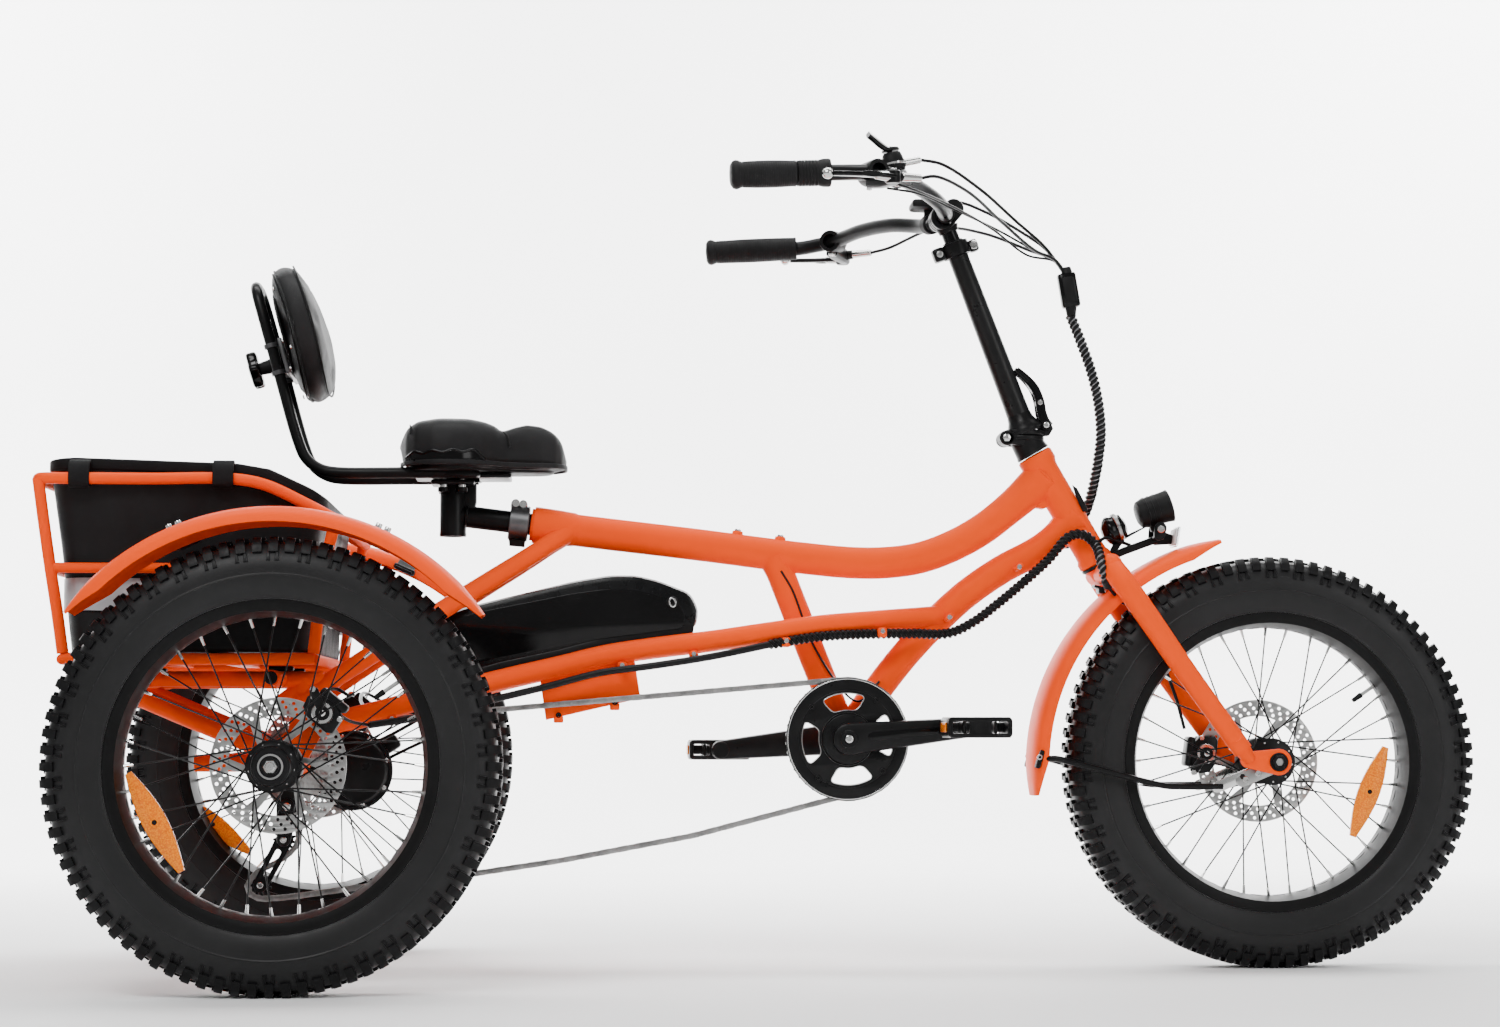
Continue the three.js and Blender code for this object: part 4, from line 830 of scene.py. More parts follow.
def front_fender():
    x, z = 707, 289
    parts = [(fender_shell(x, 0, z, 336, 57, 100, 187, 9), ORANGE)]
    for side in (1, -1):
        stay = [(386, 50 * side, 301), (400, 60 * side, 302), (424, 64 * side, 296), (556, 66 * side, 263),
                (572, 66 * side, 262), (640, 66 * side, 262)]
        parts.append((pipe(stay, 4.4, 12, 9), BLACK))
        y0, y1 = sorted((64 * side, 68 * side))
        parts.append((side_plate([stadium((632, 261), (692, 286), 8)], y0, y1, 1), SILVER))
        parts += [(bolt((x, 68 * side, z), Y * side, 4.4, 3, True), BLACK) for x,
                  z in ((636, 262), (668, 276))]
        parts.append((block((26, 16, 7), basis((378, 49 * side, 301), (0.3, 0, 1), Y), 2), PLASTIC))
        parts.append((bolt((377, 55 * side, 304), Y * side, 4, 3), SILVER))
    tab = basis((484, 0, 546), X, Y)
    parts += [(block((24, 30, 10), tab, 2.5), BLACK), (bolt((484, -16, 546), -Y, 5, 4), SILVER)]
    strap = [(466, 0, 552), (480, 0, 548), (492, 0, 546)]
    parts.append((sweep(smooth_path(strap, 4), rounded(12, 2, 1), ref=Y), BLACK))
    piece("fender_front", "steering", parts, ["front_fender"])


# ---------------------------------------------------------------- frame


def frame_tube(points, size, ends=(0.0, 0.0), soft=0.34, spacing=8.0):
    """A shaped tube: eight soft facets, flared where it is welded on."""
    path = smooth_path(points, spacing)
    scale = flare(len(path), ends[0], end=False) + flare(len(path), ends[1], start=False) - 1
    half_width, half_height = (size, size) if isinstance(size, (int, float)) else size
    return sweep(path, faceted(half_width, half_height, soft), scale, ref=Y)


def weld(centre, axis, radius, width=3.0):
    """The rounded bead of a weld round a tube."""
    profile = [(radius - 2, -width), (radius + 0.6, -width * 0.6), (radius + width * 0.6, 0),
               (radius + 0.6, width * 0.6), (radius - 2, width), (radius - 2, -width)]
    return turned(profile, centre, axis, 40)


MAIN_TUBE = [(-353, 0, 639), (-289, 0, 631), (-108, 0, 610), (37, 0, 592), (118, 0, 585), (169, 0, 586),
             (213, 0, 593), (257, 0, 609), (301, 0, 633), (345, 0, 667), (394, 0, 711)]
DOWN_TUBE = [(442, 0, 650), (389, 0, 607), (330, 0, 575), (278, 0, 539), (227, 0, 492), (183, 0, 444),
             (140, 0, 388), (106, 0, 338)]
RAIL = [(240, 8, 507), (178, 24, 503), (128, 38, 499), (62, 46, 493), (-10, 48, 483), (-91, 50, 471),
        (-179, 50, 460), (-244, 50, 450), (-310, 54, 434), (-395, 66, 414), (-526, 92, 380),
        (-664, 108, 343)]
REAR_STAY = [(-300, 9, 628), (-350, 30, 594), (-440, 52, 537), (-568, 90, 453), (-672, 110, 384)]


def both_sides(points):
    return [[(x, side * y, z) for x, y, z in points] for side in (1, -1)]


def head_tube():
    top = on_steer(HEAD_LENGTH)
    profile = [(14.6, 0), (23, 0), (26, 1.5), (26, 10), (23.4, 15), (23, 24), (23, 152), (23.6, 160),
               (26.5, 167),
               (26.5, 180), (25, HEAD_LENGTH), (14.6, HEAD_LENGTH), (14.6, 0)]
    parts = [(turned(profile, HEAD_BASE, STEER_UP, 56), ORANGE)]
    parts.append((turned([(14.8, 0), (24, 0), (25.2, 0.7), (24, 1.4), (14.8, 1.4), (14.8, 0)], top,
                         STEER_UP, 48), SILVER))
    parts.append((turned([(14.6, -5), (24, -5), (25.4, -3), (25.4, 0), (14.6, 0), (14.6, -5)], HEAD_BASE,
                         STEER_UP, 48),
                  GLOSS))
    webs = [
        [(420, 700), (372, 668), (392, 664), (412, 672), (432, 664), (436, 690)],
        [(436, 664), (416, 662), (404, 648), (392, 628), (420, 632), (446, 640)],
    ]
    parts += [(side_plate([web], -11, 11, 4), ORANGE) for web in webs]
    port = [(434, 699), (441, 694), (455, 667), (456, 660), (449, 660), (439, 682)]
    parts.append((side_plate([port], -17, -12, 1.2), RUBBER))
    piece("head_tube_painted", "frame", parts, ["head_tube"])


def main_tube():
    parts = [
        (frame_tube(MAIN_TUBE, (21, 23), (0.0, 0.28), spacing=7), ORANGE),
        (turned([(16.2, 4), (26, 4), (26.5, 8), (25.6, 40), (24.4, 62), (21, 72), (16.2, 72), (16.2, 4)],
                on_seat(0), -SEAT_DIRECTION, 48), ORANGE),
        (weld(vec(394, 0, 711), vec(0.7, 0, 0.7), 26, 4), ORANGE),
    ]
    for x, z in ((-54, 627), (8, 619)):
        up = vec(0.12, 0, 0.99)
        base = vec(x, 0, z)
        parts += [(rod(base - up * 5, base + up * 3.6, 8.6, 7.6, 28), ORANGE),
                  (bolt(base + up * 3.4, up, 5, 3), SILVER)]
    piece("main_tube_painted", "frame", parts, ["main_tube"])


def down_and_seat_tubes():
    seat_tube = [(-1, 0, 594), (48, 0, 469), (97, 0, 345)]
    shell = [(17, -36), (21, -36), (22.4, -34.5), (22.4, 34.5), (21, 36), (17, 36), (17, -36)]
    parts = [
        (frame_tube(DOWN_TUBE, (20, 21), (0.35, 0.1)), ORANGE),
        (frame_tube(seat_tube, (19, 20.5), (0.22, 0.1), 0.5), ORANGE),
        (turned(shell, CRANK, Y, 48), ORANGE),
        (disc(CRANK[0], CRANK[2], -39, -34, 20, 36, 1.0, 13), BLACK),
        (disc(CRANK[0], CRANK[2], 34, 39, 20, 36, 1.0, 13), BLACK),
        (weld(vec(105, 0, 352), vec(-0.35, 0, 0.94), 18.6, 4), ORANGE),
    ]
    sensor = [(150, -21, 413), (118, -22, 384), (60, -19, 455), (24, -19, 545), (8, -19, 572)]
    parts.append((pipe(sensor, 1.6, 8), SHEATH))
    for x, z in ((352, 578), (250, 505)):
        parts.append((block((14, 22, 7), basis((x, -28, z), (0.7, 0, 0.7), Y), 2.4), ORANGE))
        parts.append((bolt((x, -39, z), -Y, 3.6, 2), SILVER))
    piece("down_and_seat_tubes_painted", "frame", parts, ["down_and_seat_tubes"])


def lower_rails():
    parts = []
    for rail, stay in zip(both_sides(RAIL), both_sides(REAR_STAY)):
        parts.append((pipe(rail, 14.5, 26, 8, ref=Z, ends=(0.1, 0.15)), ORANGE))
        parts.append((pipe(stay, 13.5, 26, 8, ref=Z, ends=(0.25, 0.18)), ORANGE))
    tray = [(-330, 428, 6), (-280, 436, 6), (-180, 454, 6), (-128, 462, 6)]
    path = [(x, 0, z) for x, z, _ in tray]
    parts.append((sweep(smooth_path(path, 10), rounded(50, 3, 2), ref=Y), ORANGE))
    box_outline = [(-340, 424), (-205, 452), (-195, 388), (-330, 357)]
    parts.append((side_plate([box_outline], -45, 45, 4), ORANGE))
    for x, z in ((-230, 444), (-312, 427), (-312, 364), (-232, 382)):
        parts.append((bolt((x, -45, z), -Y, 4, 2.4), BLACK))
        parts.append((block((14, 10, 10), basis((x, -42, z + (12 if z > 400 else -6)), X, Y), 2), ORANGE))
    for x, z in ((150, 477), (12, 463), (-120, 444), (-222, 428), (-452, 374), (-545, 352)):
        y = -58 if x > -300 else -96
        parts.append((block((13, 20, 14), basis((x, y, z + 5), X, Y), 3), ORANGE))
        parts.append((bolt((x, y - 10, z + 7), -Y, 3.4, 2), SILVER))
    for side in (1, -1):
        parts.append((rod((240, 12 * side, 507), (236, 2 * side, 508), 15, 15, 20), ORANGE))
    piece("lower_rails_painted", "frame", parts, ["lower_rails"])


def rear_carrier():
    """The rear frame: an upper loop, two crossbars, posts and the axle housing with brake plates."""
    loop = smooth_path([(-640, 0, 414), (-640, 95, 414), (-655, 110, 414), (-800, 110, 414),
                        (-945, 110, 414),
                        (-960, 95, 414), (-960, 0, 414), (-960, -95, 414), (-945, -110, 414),
                        (-800, -110, 414),
                        (-655, -110, 414), (-640, -95, 414)], 8, closed=True)
    parts = [(sweep(loop, circle(11, 20), ref=Z, closed=True), ORANGE)]
    for x in (-900, -700):
        parts.append((rod((x, -250, 414), (x, 250, 414), 11, 11, 22, 1.5), ORANGE))
    for side in (1, -1):
        y = 110 * side
        parts += [
            (pipe([(-668, y, 416), (-674, y, 355), (-679, y, 300)], 13, 24, ends=(0.15, 0.3), ref=Y),
             ORANGE),
            (pipe([(-946, y, 412), (-815, y, 356), (-684, y, 302)], 14, 24, ends=(0.1, 0.25), ref=Y),
             ORANGE),
            (rod((-817, y, 297), (-684, y, 297), 12, 12, 24), ORANGE),
            (rod((REAR_AXLE_X, HOUSING_INNER_Y * side, AXLE_Z),
                 (REAR_AXLE_X, HOUSING_OUTER_Y * side, AXLE_Z), 22, 22, 40, 1.5,
                 13), ORANGE),
            (rod((REAR_AXLE_X, 296 * side, AXLE_Z),
                 (REAR_AXLE_X, HOUSING_OUTER_Y * side, AXLE_Z), 27, 27, 40, 2, 13),
             ORANGE),
            (side_plate([stadium((REAR_AXLE_X, AXLE_Z), (-634, 357), 28, 16),
                         flat_circle(REAR_AXLE_X, AXLE_Z, 14)],
                        300 * side, 306 * side, 1), ORANGE),
            (pipe([(-672, 110 * side, 400), (-700, 104 * side, 380)], 12, 20), ORANGE),
        ]
        for x in (-900, -700):
            parts.append((rod((x, 247 * side, 414), (x, 251 * side, 414), 9, 9, 22), PLASTIC))
    piece("rear_carrier_painted", "frame", parts, ["rear_carrier"])


def seat_clamp():
    band = turned([(16.3, 3), (24.6, 3), (25.6, 4), (25.6, 30), (24.6, 31), (16.3, 31), (16.3, 3)],
                  on_seat(0), SEAT_DIRECTION, 48)
    parts = [(band, ALLOY)]
    for shift in (11, 22):
        centre = on_seat(shift)
        parts.append((bolt(centre + Y * -12 + Z * 27, -Y, 6, 5), SILVER))
        parts.append((rod(centre + Y * -11 + Z * 26, centre + Y * 12 + Z * 26, 4.6, 4.6, 16), ALLOY))
    parts.append((block((24, 20, 11), basis(on_seat(17) + Z * 25, SEAT_DIRECTION, Y), 2.5), ALLOY))
    parts.append((side_plate([[(-386, 628), (-360, 624), (-362, 606), (-384, 608)]], -7, 7, 2), PLASTIC))
    piece("seat_clamp_band", "frame", parts, ["seat_clamp"])


# ---------------------------------------------------------------- fork and front axle


def fork():
    parts = []
    for side in (1, -1):
        leg = [(480, 56 * side, 580), (496, 74 * side, 556), (538, 75 * side, 496), (580, 75 * side, 435),
               (668, 75 * side, 313)]
        path = smooth_path(leg, 7)
        parts.append((sweep(path, faceted(15.5, 17, 0.4), np.linspace(1.04, 0.84, len(path)), ref=Y),
                      ORANGE))
        parts.append((ball((482, 58 * side, 580), 17), ORANGE))
        y0, y1 = sorted((71 * side, 79 * side))
        hook = [stadium((676, 300), (FRONT_AXLE_X, AXLE_Z), 12, 19, 12),
                flat_circle(FRONT_AXLE_X, AXLE_Z, 8)]
        parts.append((side_plate(hook, y0, y1, 1.4), ORANGE))
        parts.append((rod((656, 75 * side, 330), (680, 75 * side, 297), 14.4, 9.5, 24, 3), ORANGE))
    lower = on_steer(-17)
    parts.append((rod(lower - Y * 60, lower + Y * 60, 16, 16, 28, 5), ORANGE))
    parts.append((turned([(14, -22), (17, -21), (18.5, -10), (22, -6), (23.5, -5), (23.5, -2), (14, -2),
                          (14, -22)],
                         HEAD_BASE, STEER_UP, 44), ORANGE))
    parts.append((rod(on_steer(-4), on_steer(HEAD_LENGTH + 2), 14.2, 14.2, 24), STEEL))
    piece("fork_painted", "steering", parts, ["fork"])


def front_axle():
    parts = [(rod((FRONT_AXLE_X, -84, AXLE_Z), (FRONT_AXLE_X, 84, AXLE_Z), 6, 6, 20), STEEL)]
    for side in (1, -1):
        y = lambda inner, outer: (inner * side, outer * side)
        parts.append((disc(FRONT_AXLE_X, AXLE_Z, *y(57, 70.6), 10.5, 24), STEEL))
        parts.append((disc(FRONT_AXLE_X, AXLE_Z, *y(79.2, 81), 13.5, 32, 0.5), BLACK))
        parts.append((turned([(6, 81 * side), (10.5, 81 * side), (10.5, 85 * side), (9.5, 86 * side),
                              (6, 86 * side),
                              (6, 81 * side)], (FRONT_AXLE_X, 0, AXLE_Z), Y, 6), BLACK))
        ends = sorted(y(66.5, 70.6))
        link_outline = [stadium((FRONT_AXLE_X, AXLE_Z), (668, 270), 14, 9, 12),
                        flat_circle(FRONT_AXLE_X, AXLE_Z, 6.4)]
        parts.append((side_plate(link_outline, *ends, 0.8), STEEL))
        for x, z in ((672, 272), (690, 281)):
            parts.append((bolt((x, 71 * side, z), Y * side, 4.6, 3), SILVER))
    piece("axle_front", "steering", parts, ["front_axle"])


def lights():
    arm = [(486, -2, 588), (500, 0, 598), (530, 0, 610), (558, 0, 620)]
    parts = [
        (sweep(smooth_path(arm, 5), rounded(10, 5.5, 2), ref=Y), BLACK),
        (side_plate([[(474, 600), (500, 604), (512, 622), (530, 632), (500, 618), (486, 590)]], -4, 4,
                    1.5), BLACK),
        (slab([rounded(24, 15, 4)], 3, basis((588, 0, 624), Y, vec(0.16, 0, 0.98)), 0.8), LENS),
        (slab([rounded(21, 12, 3)], 4, basis((585.5, 0, 624), Y, vec(0.16, 0, 0.98)), 0.8), WHITE),
        (side_plate([[(556, 612), (586, 614), (586, 626), (566, 634), (556, 632)]], -3, 3, 1.2), BLACK),
    ]
    horn_axis = vec(30, 0, 11) / np.linalg.norm(vec(30, 0, 11))
    horn = vec(484, 0, 630)
    parts.append((turned([(0, -4), (8, -4), (17, 1), (21, 5), (21.5, 9), (20, 12), (20, 15), (22, 17),
                          (22, 21),
                          (19, 24), (19, 27), (12, 31), (6, 32.5), (0, 33)], horn, horn_axis, 44), GLOSS))
    parts.append((turned([(21.6, 16), (22.6, 17), (22.6, 21), (21.6, 22), (21.6, 16)], horn, horn_axis,
                         44), STEEL))
    wire = [(478, 0, 596), (470, -12, 612), (482, -16, 622), (500, -12, 618), (520, -4, 612)]
    parts.append((pipe(wire, 2.6, 10, 4), BLACK))
    for side in (1, -1):
        plate = side_plate([stadium((560, 626), (562, 636), 8, 9)], 21 * side, 24 * side, 0.8)
        parts.append((plate, BLACK))
    parts.append((sweep([(560, -23, 622), (560, 23, 622)], rounded(8, 2, 1), ref=X), BLACK))
    piece("light_bracket_and_horn", "steering", parts, ["light_bracket"])

    tilt = math.radians(17)
    ahead = vec(math.cos(tilt), 0, math.sin(tilt))
    centre = vec(555, 0, 663)
    shell = [(0, -25), (14, -25), (19, -22), (21.8, -14), (22.4, 4), (22.8, 16), (23.6, 24), (24, 26),
             (22.6, 26),
             (21.4, 20), (0, 16)]
    lens = [(0, 17), (20.6, 20), (22.2, 25), (17.4, 27.2), (9, 28.4), (0, 28.8)]
    parts = [
        (turned(shell, centre, ahead, 52), PLASTIC),
        (turned(lens, centre, ahead, 52), LENS),
        (turned([(4, 16.4), (15, 17.5), (17.5, 20.5), (16.5, 20.5), (4, 17.5), (4, 16.4)], centre, ahead,
                40), SILVER),
        (block((20, 15, 14), basis((560, 0, 640), vec(0.96, 0, 0.29), Y), 3), PLASTIC),
        (disc(562, 633, -20.4, 20.4, 4, 20), BLACK),
        (bolt((562, -24.2, 634), -Y, 5.4, 3.2), SILVER),
    ]
    for reach in (-12, -4, 4):
        parts.append((turned([(21.6, reach), (22.9, reach + 0.5), (22.9, reach + 2.5), (21.6, reach + 3),
                              (21.6, reach)], centre, ahead, 52), PLASTIC))
    piece("headlight_lamp", "headlight_body", parts, ["headlight"])


# ---------------------------------------------------------------- folding stem and handlepost


def stem_base():
    cone = [(14.6, 184.3), (24.5, 184.3), (25.4, 186), (24.2, 190), (23, 202), (22, 212), (19, 218),
            (14.6, 219),
            (14.6, 184.3)]
    parts = [(turned(cone, HEAD_BASE, STEER_UP, 48), BLACK)]
    tube = [on_steer(205), on_steer(216), vec(362, 0, 762), vec(366, 0, 768)]
    parts.append((pipe(tube, 19, 32, 4), BLACK))
    flange = oval(0, 0, 30, 25)
    parts.append((slab([flange], 7, basis((365, 0, 767.5), X, Y), 1.6), BLACK))
    for side in (1, -1):
        knuckle = rod((338, 12 * side, 767), (338, 22 * side, 767), 11, 11, 28, 2)
        web = side_plate([stadium((338, 767), (358, 764), 9, 8)], 12 * side, 22 * side, 2)
        parts += [(knuckle, BLACK), (web, BLACK),
                  (bolt((337, 22 * side, 767), Y * side, 6, 3, True), SILVER)]
    ear = [(384, 770), (402, 772), (408, 782), (404, 792), (394, 794), (386, 782)]
    parts.append((side_plate([ear], -7, -3, 1), BLACK))
    parts.append((side_plate([ear], 3, 7, 1), BLACK))
    piece("stem_lower_joint", "steering", parts, ["stem_base"])


def handlepost():
    tube = [(0, -1), (17.4, -1), (17.6, 14), (17, 40), (16, 150), (15, 262), (15, POST_LENGTH),
            (12.6, POST_LENGTH),
            (12.6, 120), (0, 118)]
    collar = [(15.1, 268), (20.5, 269), (21, 271), (21, 287), (20.5, 289), (15.1, 290), (15.1, 268)]
    foot = [(0, -9), (25, -9), (27, -6), (27, -2), (23, 4), (19, 12), (17.2, 22), (0, 22)]
    parts = [
        (turned(tube, POST_BASE, POST_UP, 48), POST),
        (turned(collar, POST_BASE, POST_UP, 48), BLACK),
        (turned(foot, POST_BASE, POST_UP, 48), BLACK),
        (slab([oval(0, 0, 30, 25)], 7, basis((365, 0, 775.6), X, Y), 1.6), BLACK),
        (disc(338, 767.5, -11.5, 11.5, 11, 28, 1.5), BLACK),
        (side_plate([stadium((338, 768), (352, 776), 10.6, 8)], -11.5, 11.5, 2), BLACK),
    ]
    behind = on_post(280) - vec(math.cos(POST_LEAN), 0, math.sin(POST_LEAN)) * 26
    ahead = on_post(276) + vec(math.cos(POST_LEAN), 0, math.sin(POST_LEAN)) * 26
    side_axis = vec(math.cos(POST_LEAN), 0, math.sin(POST_LEAN))
    parts += [
        (block((18, 22, 20), basis(behind, side_axis, Y), 3), BLACK),
        (block((14, 16, 18), basis(ahead, side_axis, Y), 3), BLACK),
        (bolt(ahead - Y * 8, -Y, 6.4, 4), SILVER),
        (bolt(behind - Y * 11, -Y, 5, 2.6), STEEL),
        (side_plate([[(388, 781), (402, 783), (408, 790), (400, 800), (388, 802)]], -2.6, 2.6, 0.8), BLACK),
    ]
    piece("handlepost_tube", "post", parts, ["handlepost"])


def fold_lever():
    """The looped catch in front of the joint: two cheeks with a hooked handle."""
    handle = [(398, 0, 784), (391, 0, 804), (388, 0, 822), (380, 0, 842), (366, 0, 858), (354, 0, 868)]
    parts = []
    for side in (1, -1):
        path = smooth_path([(x, 8.5 * side * (1 if z < 850 else 0.7), z) for x, _, z in handle], 4)
        parts.append((sweep(path, rounded(2.2, 7, 2), np.linspace(1.1, 0.75, len(path)), ref=Y), GLOSS))
    parts.append((sweep(smooth_path([(381, 0, 836), (368, 0, 855), (352, 0, 869)], 4),
                        rounded(9, 3.5, 2.5), ref=Y), GLOSS))
    for x, z, radius in ((397, 787, 7), (388, 820, 6)):
        parts.append((disc(x, z, -11, 11, radius, 24, 1.2), BLACK))
        parts.append((bolt((x, -11, z), -Y, radius * 0.62, 2.2), SILVER))
        parts.append((bolt((x, 11, z), Y, radius * 0.62, 2.2), SILVER))
    piece("fold_catch_lever", "catch", parts, ["fold_lever"])


# ---------------------------------------------------------------- handlebar

BAR_CENTRE = on_post(330)
BAR_HALF = [(62, -333, 1097), (88, -320, 1100), (112, -302, 1103), (150, -238, 1110), (190, -168, 1108),
            (228, -105, 1097), (243, -55, 1092)]
GRIP_DIRECTION = vec(-0.997, -0.067, -0.045) / np.linalg.norm(vec(-0.997, -0.067, -0.045))


def flip(point, side):
    """A point given for the right side (-Y), taken to the given side."""
    x, y, z = point
    return vec(x, y if side < 0 else -y, z)


def on_grip(distance, side):
    return flip(vec(62, -333, 1097) + GRIP_DIRECTION * distance, side)


def handlebar():
    right = [tuple(vec(62, -333, 1097) + GRIP_DIRECTION * 132)] + BAR_HALF
    left = [(x, -y, z) for x, y, z in reversed(right)]
    centre = [tuple(BAR_CENTRE + vec(0, -22, 0)), tuple(BAR_CENTRE + vec(0, 22, 0))]
    path = right + centre + left
    parts = [(pipe(path, 11, 28, 7, ref=Z), BLACK)]
    parts.append((rod(BAR_CENTRE - Y * 34, BAR_CENTRE + Y * 34, 12.6, 12.6, 32, 2), BLACK))
    piece("handlebar_tube", "bars", parts, ["handlebar"])


def bar_riser():
    parts = [(rod(on_post(160), on_post(318), 12, 12, 32, 1), GLOSS)]
    ahead = np.cross(Y, POST_UP)
    place = basis(BAR_CENTRE - POST_UP * 1, ahead, POST_UP)
    strap = [stadium((-2, 0), (16, 6), 19, 15, 14), circle(12.8, 32)]
    for y in (-13, 0, 13):
        parts.append((slab([strap[0], strap[1]], 11, (place[0] + Y * y, place[1]), 1.6), BLACK))
    parts.append((turned([(0, 306), (14, 306), (14.6, 307), (15, 310), (17, 315), (0, 317)], POST_BASE,
                         POST_UP, 40),
                  BLACK))
    for y in (-10, 10):
        base = BAR_CENTRE + ahead * 24 + POST_UP * 12 + Y * y
        parts.append((bolt(base, POST_UP, 4.4, 3.6), SILVER))
    piece("bar_riser_clamp", "bars", parts, ["bar_riser"])


def grip_profile(start, end, ribs, flare_end):
    """The turned outline of a rubber grip with fine ribs and a flared end."""
    profile = [(11.3, start), (16.6, start), (18, start + 1.5)]
    count = ribs
    for i in range(count):
        a = start + 5 + (end - start - 16) * i / count
        step = (end - start - 16) / count
        swell = 1.0 * math.sin(math.pi * i / count)
        profile += [(17.3 + swell, a), (17.7 + swell, a + step * 0.3), (17.7 + swell, a + step * 0.7),
                    (17.3 + swell, a + step)]
    profile += [(17, end - 10), (18.6 + flare_end, end - 4), (18.4 + flare_end, end - 1.5), (15, end),
                (0, end)]
    return profile


def grips():
    for side, name, node, start in ((-1, "grip_right_rubber", "grip_right", 56.5),
                                    (1, "grip_left_rubber", "grip_left", 4)):
        origin, end = on_grip(0, side), on_grip(10, side)
        parts = [(turned(grip_profile(start, 140, 22 if start > 50 else 32, 0.8), origin, end - origin,
                         44), RUBBER)]
        parts.append((turned([(14, 134), (19.4, 135), (20, 139), (18.6, 143), (14, 146), (0, 147)],
                             origin, end - origin, 44), RUBBER))
        piece(name, "bars", parts, [node])
    origin, end = on_grip(0, -1), on_grip(10, -1)
    throttle = [(13.4, 10), (18.6, 10), (19.4, 12), (19.2, 20), (17.6, 26)]
    for i in range(6):
        a = 27 + i * 4.4
        throttle += [(17.0, a), (18.0, a + 1.2), (18.0, a + 3.0), (17.0, a + 4.2)]
    throttle += [(17.8, 54.8), (16.5, 55.4), (13.4, 55.4), (13.4, 10)]
    piece("throttle_twist_grip", "throttle",
          [(turned(throttle, origin, end - origin, 48), RUBBER)],
          ["twist_throttle"])


def brake_controls():
    for side, name in ((-1, "right"), (1, "left")):
        at = lambda x, y, z: flip((x, -y, z), side)
        clamp_a, clamp_b = at(122, 318, 1104), at(106, 286, 1102)
        axis = (clamp_a - clamp_b) / np.linalg.norm(clamp_a - clamp_b)
        parts = [(turned([(11.2, 0), (16.4, 0), (17, 1.5), (17, 30), (16.4, 34), (11.2, 34), (11.2, 0)],
                         clamp_b, axis, 36), BLACK)]
        body = [(112, 306, 1094), (122, 326, 1090), (132, 346, 1088), (138, 360, 1087)]
        path = smooth_path([at(*p) for p in body], 4)
        parts.append((sweep(path, rounded(12, 8.5, 4), np.linspace(1.1, 0.85, len(path)), ref=Z), BLACK))
        barrel_start, barrel_end = at(148, 344, 1090), at(176, 330, 1091)
        parts.append((rod(at(136, 350, 1089), barrel_start, 8, 7, 22), BLACK))
        parts.append((rod(barrel_start, barrel_end, 6.2, 5.2, 18, 1), SILVER))
        pivot = at(134, 366, 1086)
        parts.append((rod(pivot - Z * 9, pivot + Z * 9, 10.5, 10.5, 28, 2), BLACK))
        parts.append((bolt(pivot + Z * 9, Z, 4.6, 2.6), SILVER))
        for offset in (-6, 6):
            parts.append((bolt(at(112, 300, 1084) + axis * offset, -Z, 4, 3.6), SILVER))
        piece(f"brake_bracket_{name}_body", "bars", parts, [f"brake_bracket_{name}"])

        lever = [(134, 366, 1086), (118, 376, 1086), (100, 382, 1086), (78, 386, 1086), (52, 388, 1086)]
        path = smooth_path([at(*p) for p in lever], 4)
        blade = sweep(path, rounded(6.5, 3.4, 2.6), np.stack([np.linspace(1.6, 0.72, len(path)),
                                                             np.linspace(1.0, 0.9, len(path))], 1),
                      ref=np.cross(Z, X))
        inset = basis(at(104, 388.6, 1086), vec(-0.98, 0.18 * side, 0), Z)
        root = rod(at(132, 368, 1086), at(108, 380, 1086), 7.4, 5.4, 20, 2)
        parts = [(blade, GLOSS), (root, SILVER), (ball(at(44, 388, 1086), 7.6), SILVER)]
        for reach, material, thickness in ((17, GLOSS, 2.2), (15, PLASTIC, 3.0)):
            ring = slab([oval(0, 0, reach, 4.3 if reach > 16 else 3.2)], thickness, inset, 0.5)
            parts.append((ring, material))
        piece(f"brake_lever_{name}_blade", f"brake_lever_{name}_body", parts,
              [f"brake_lever_{name}"])


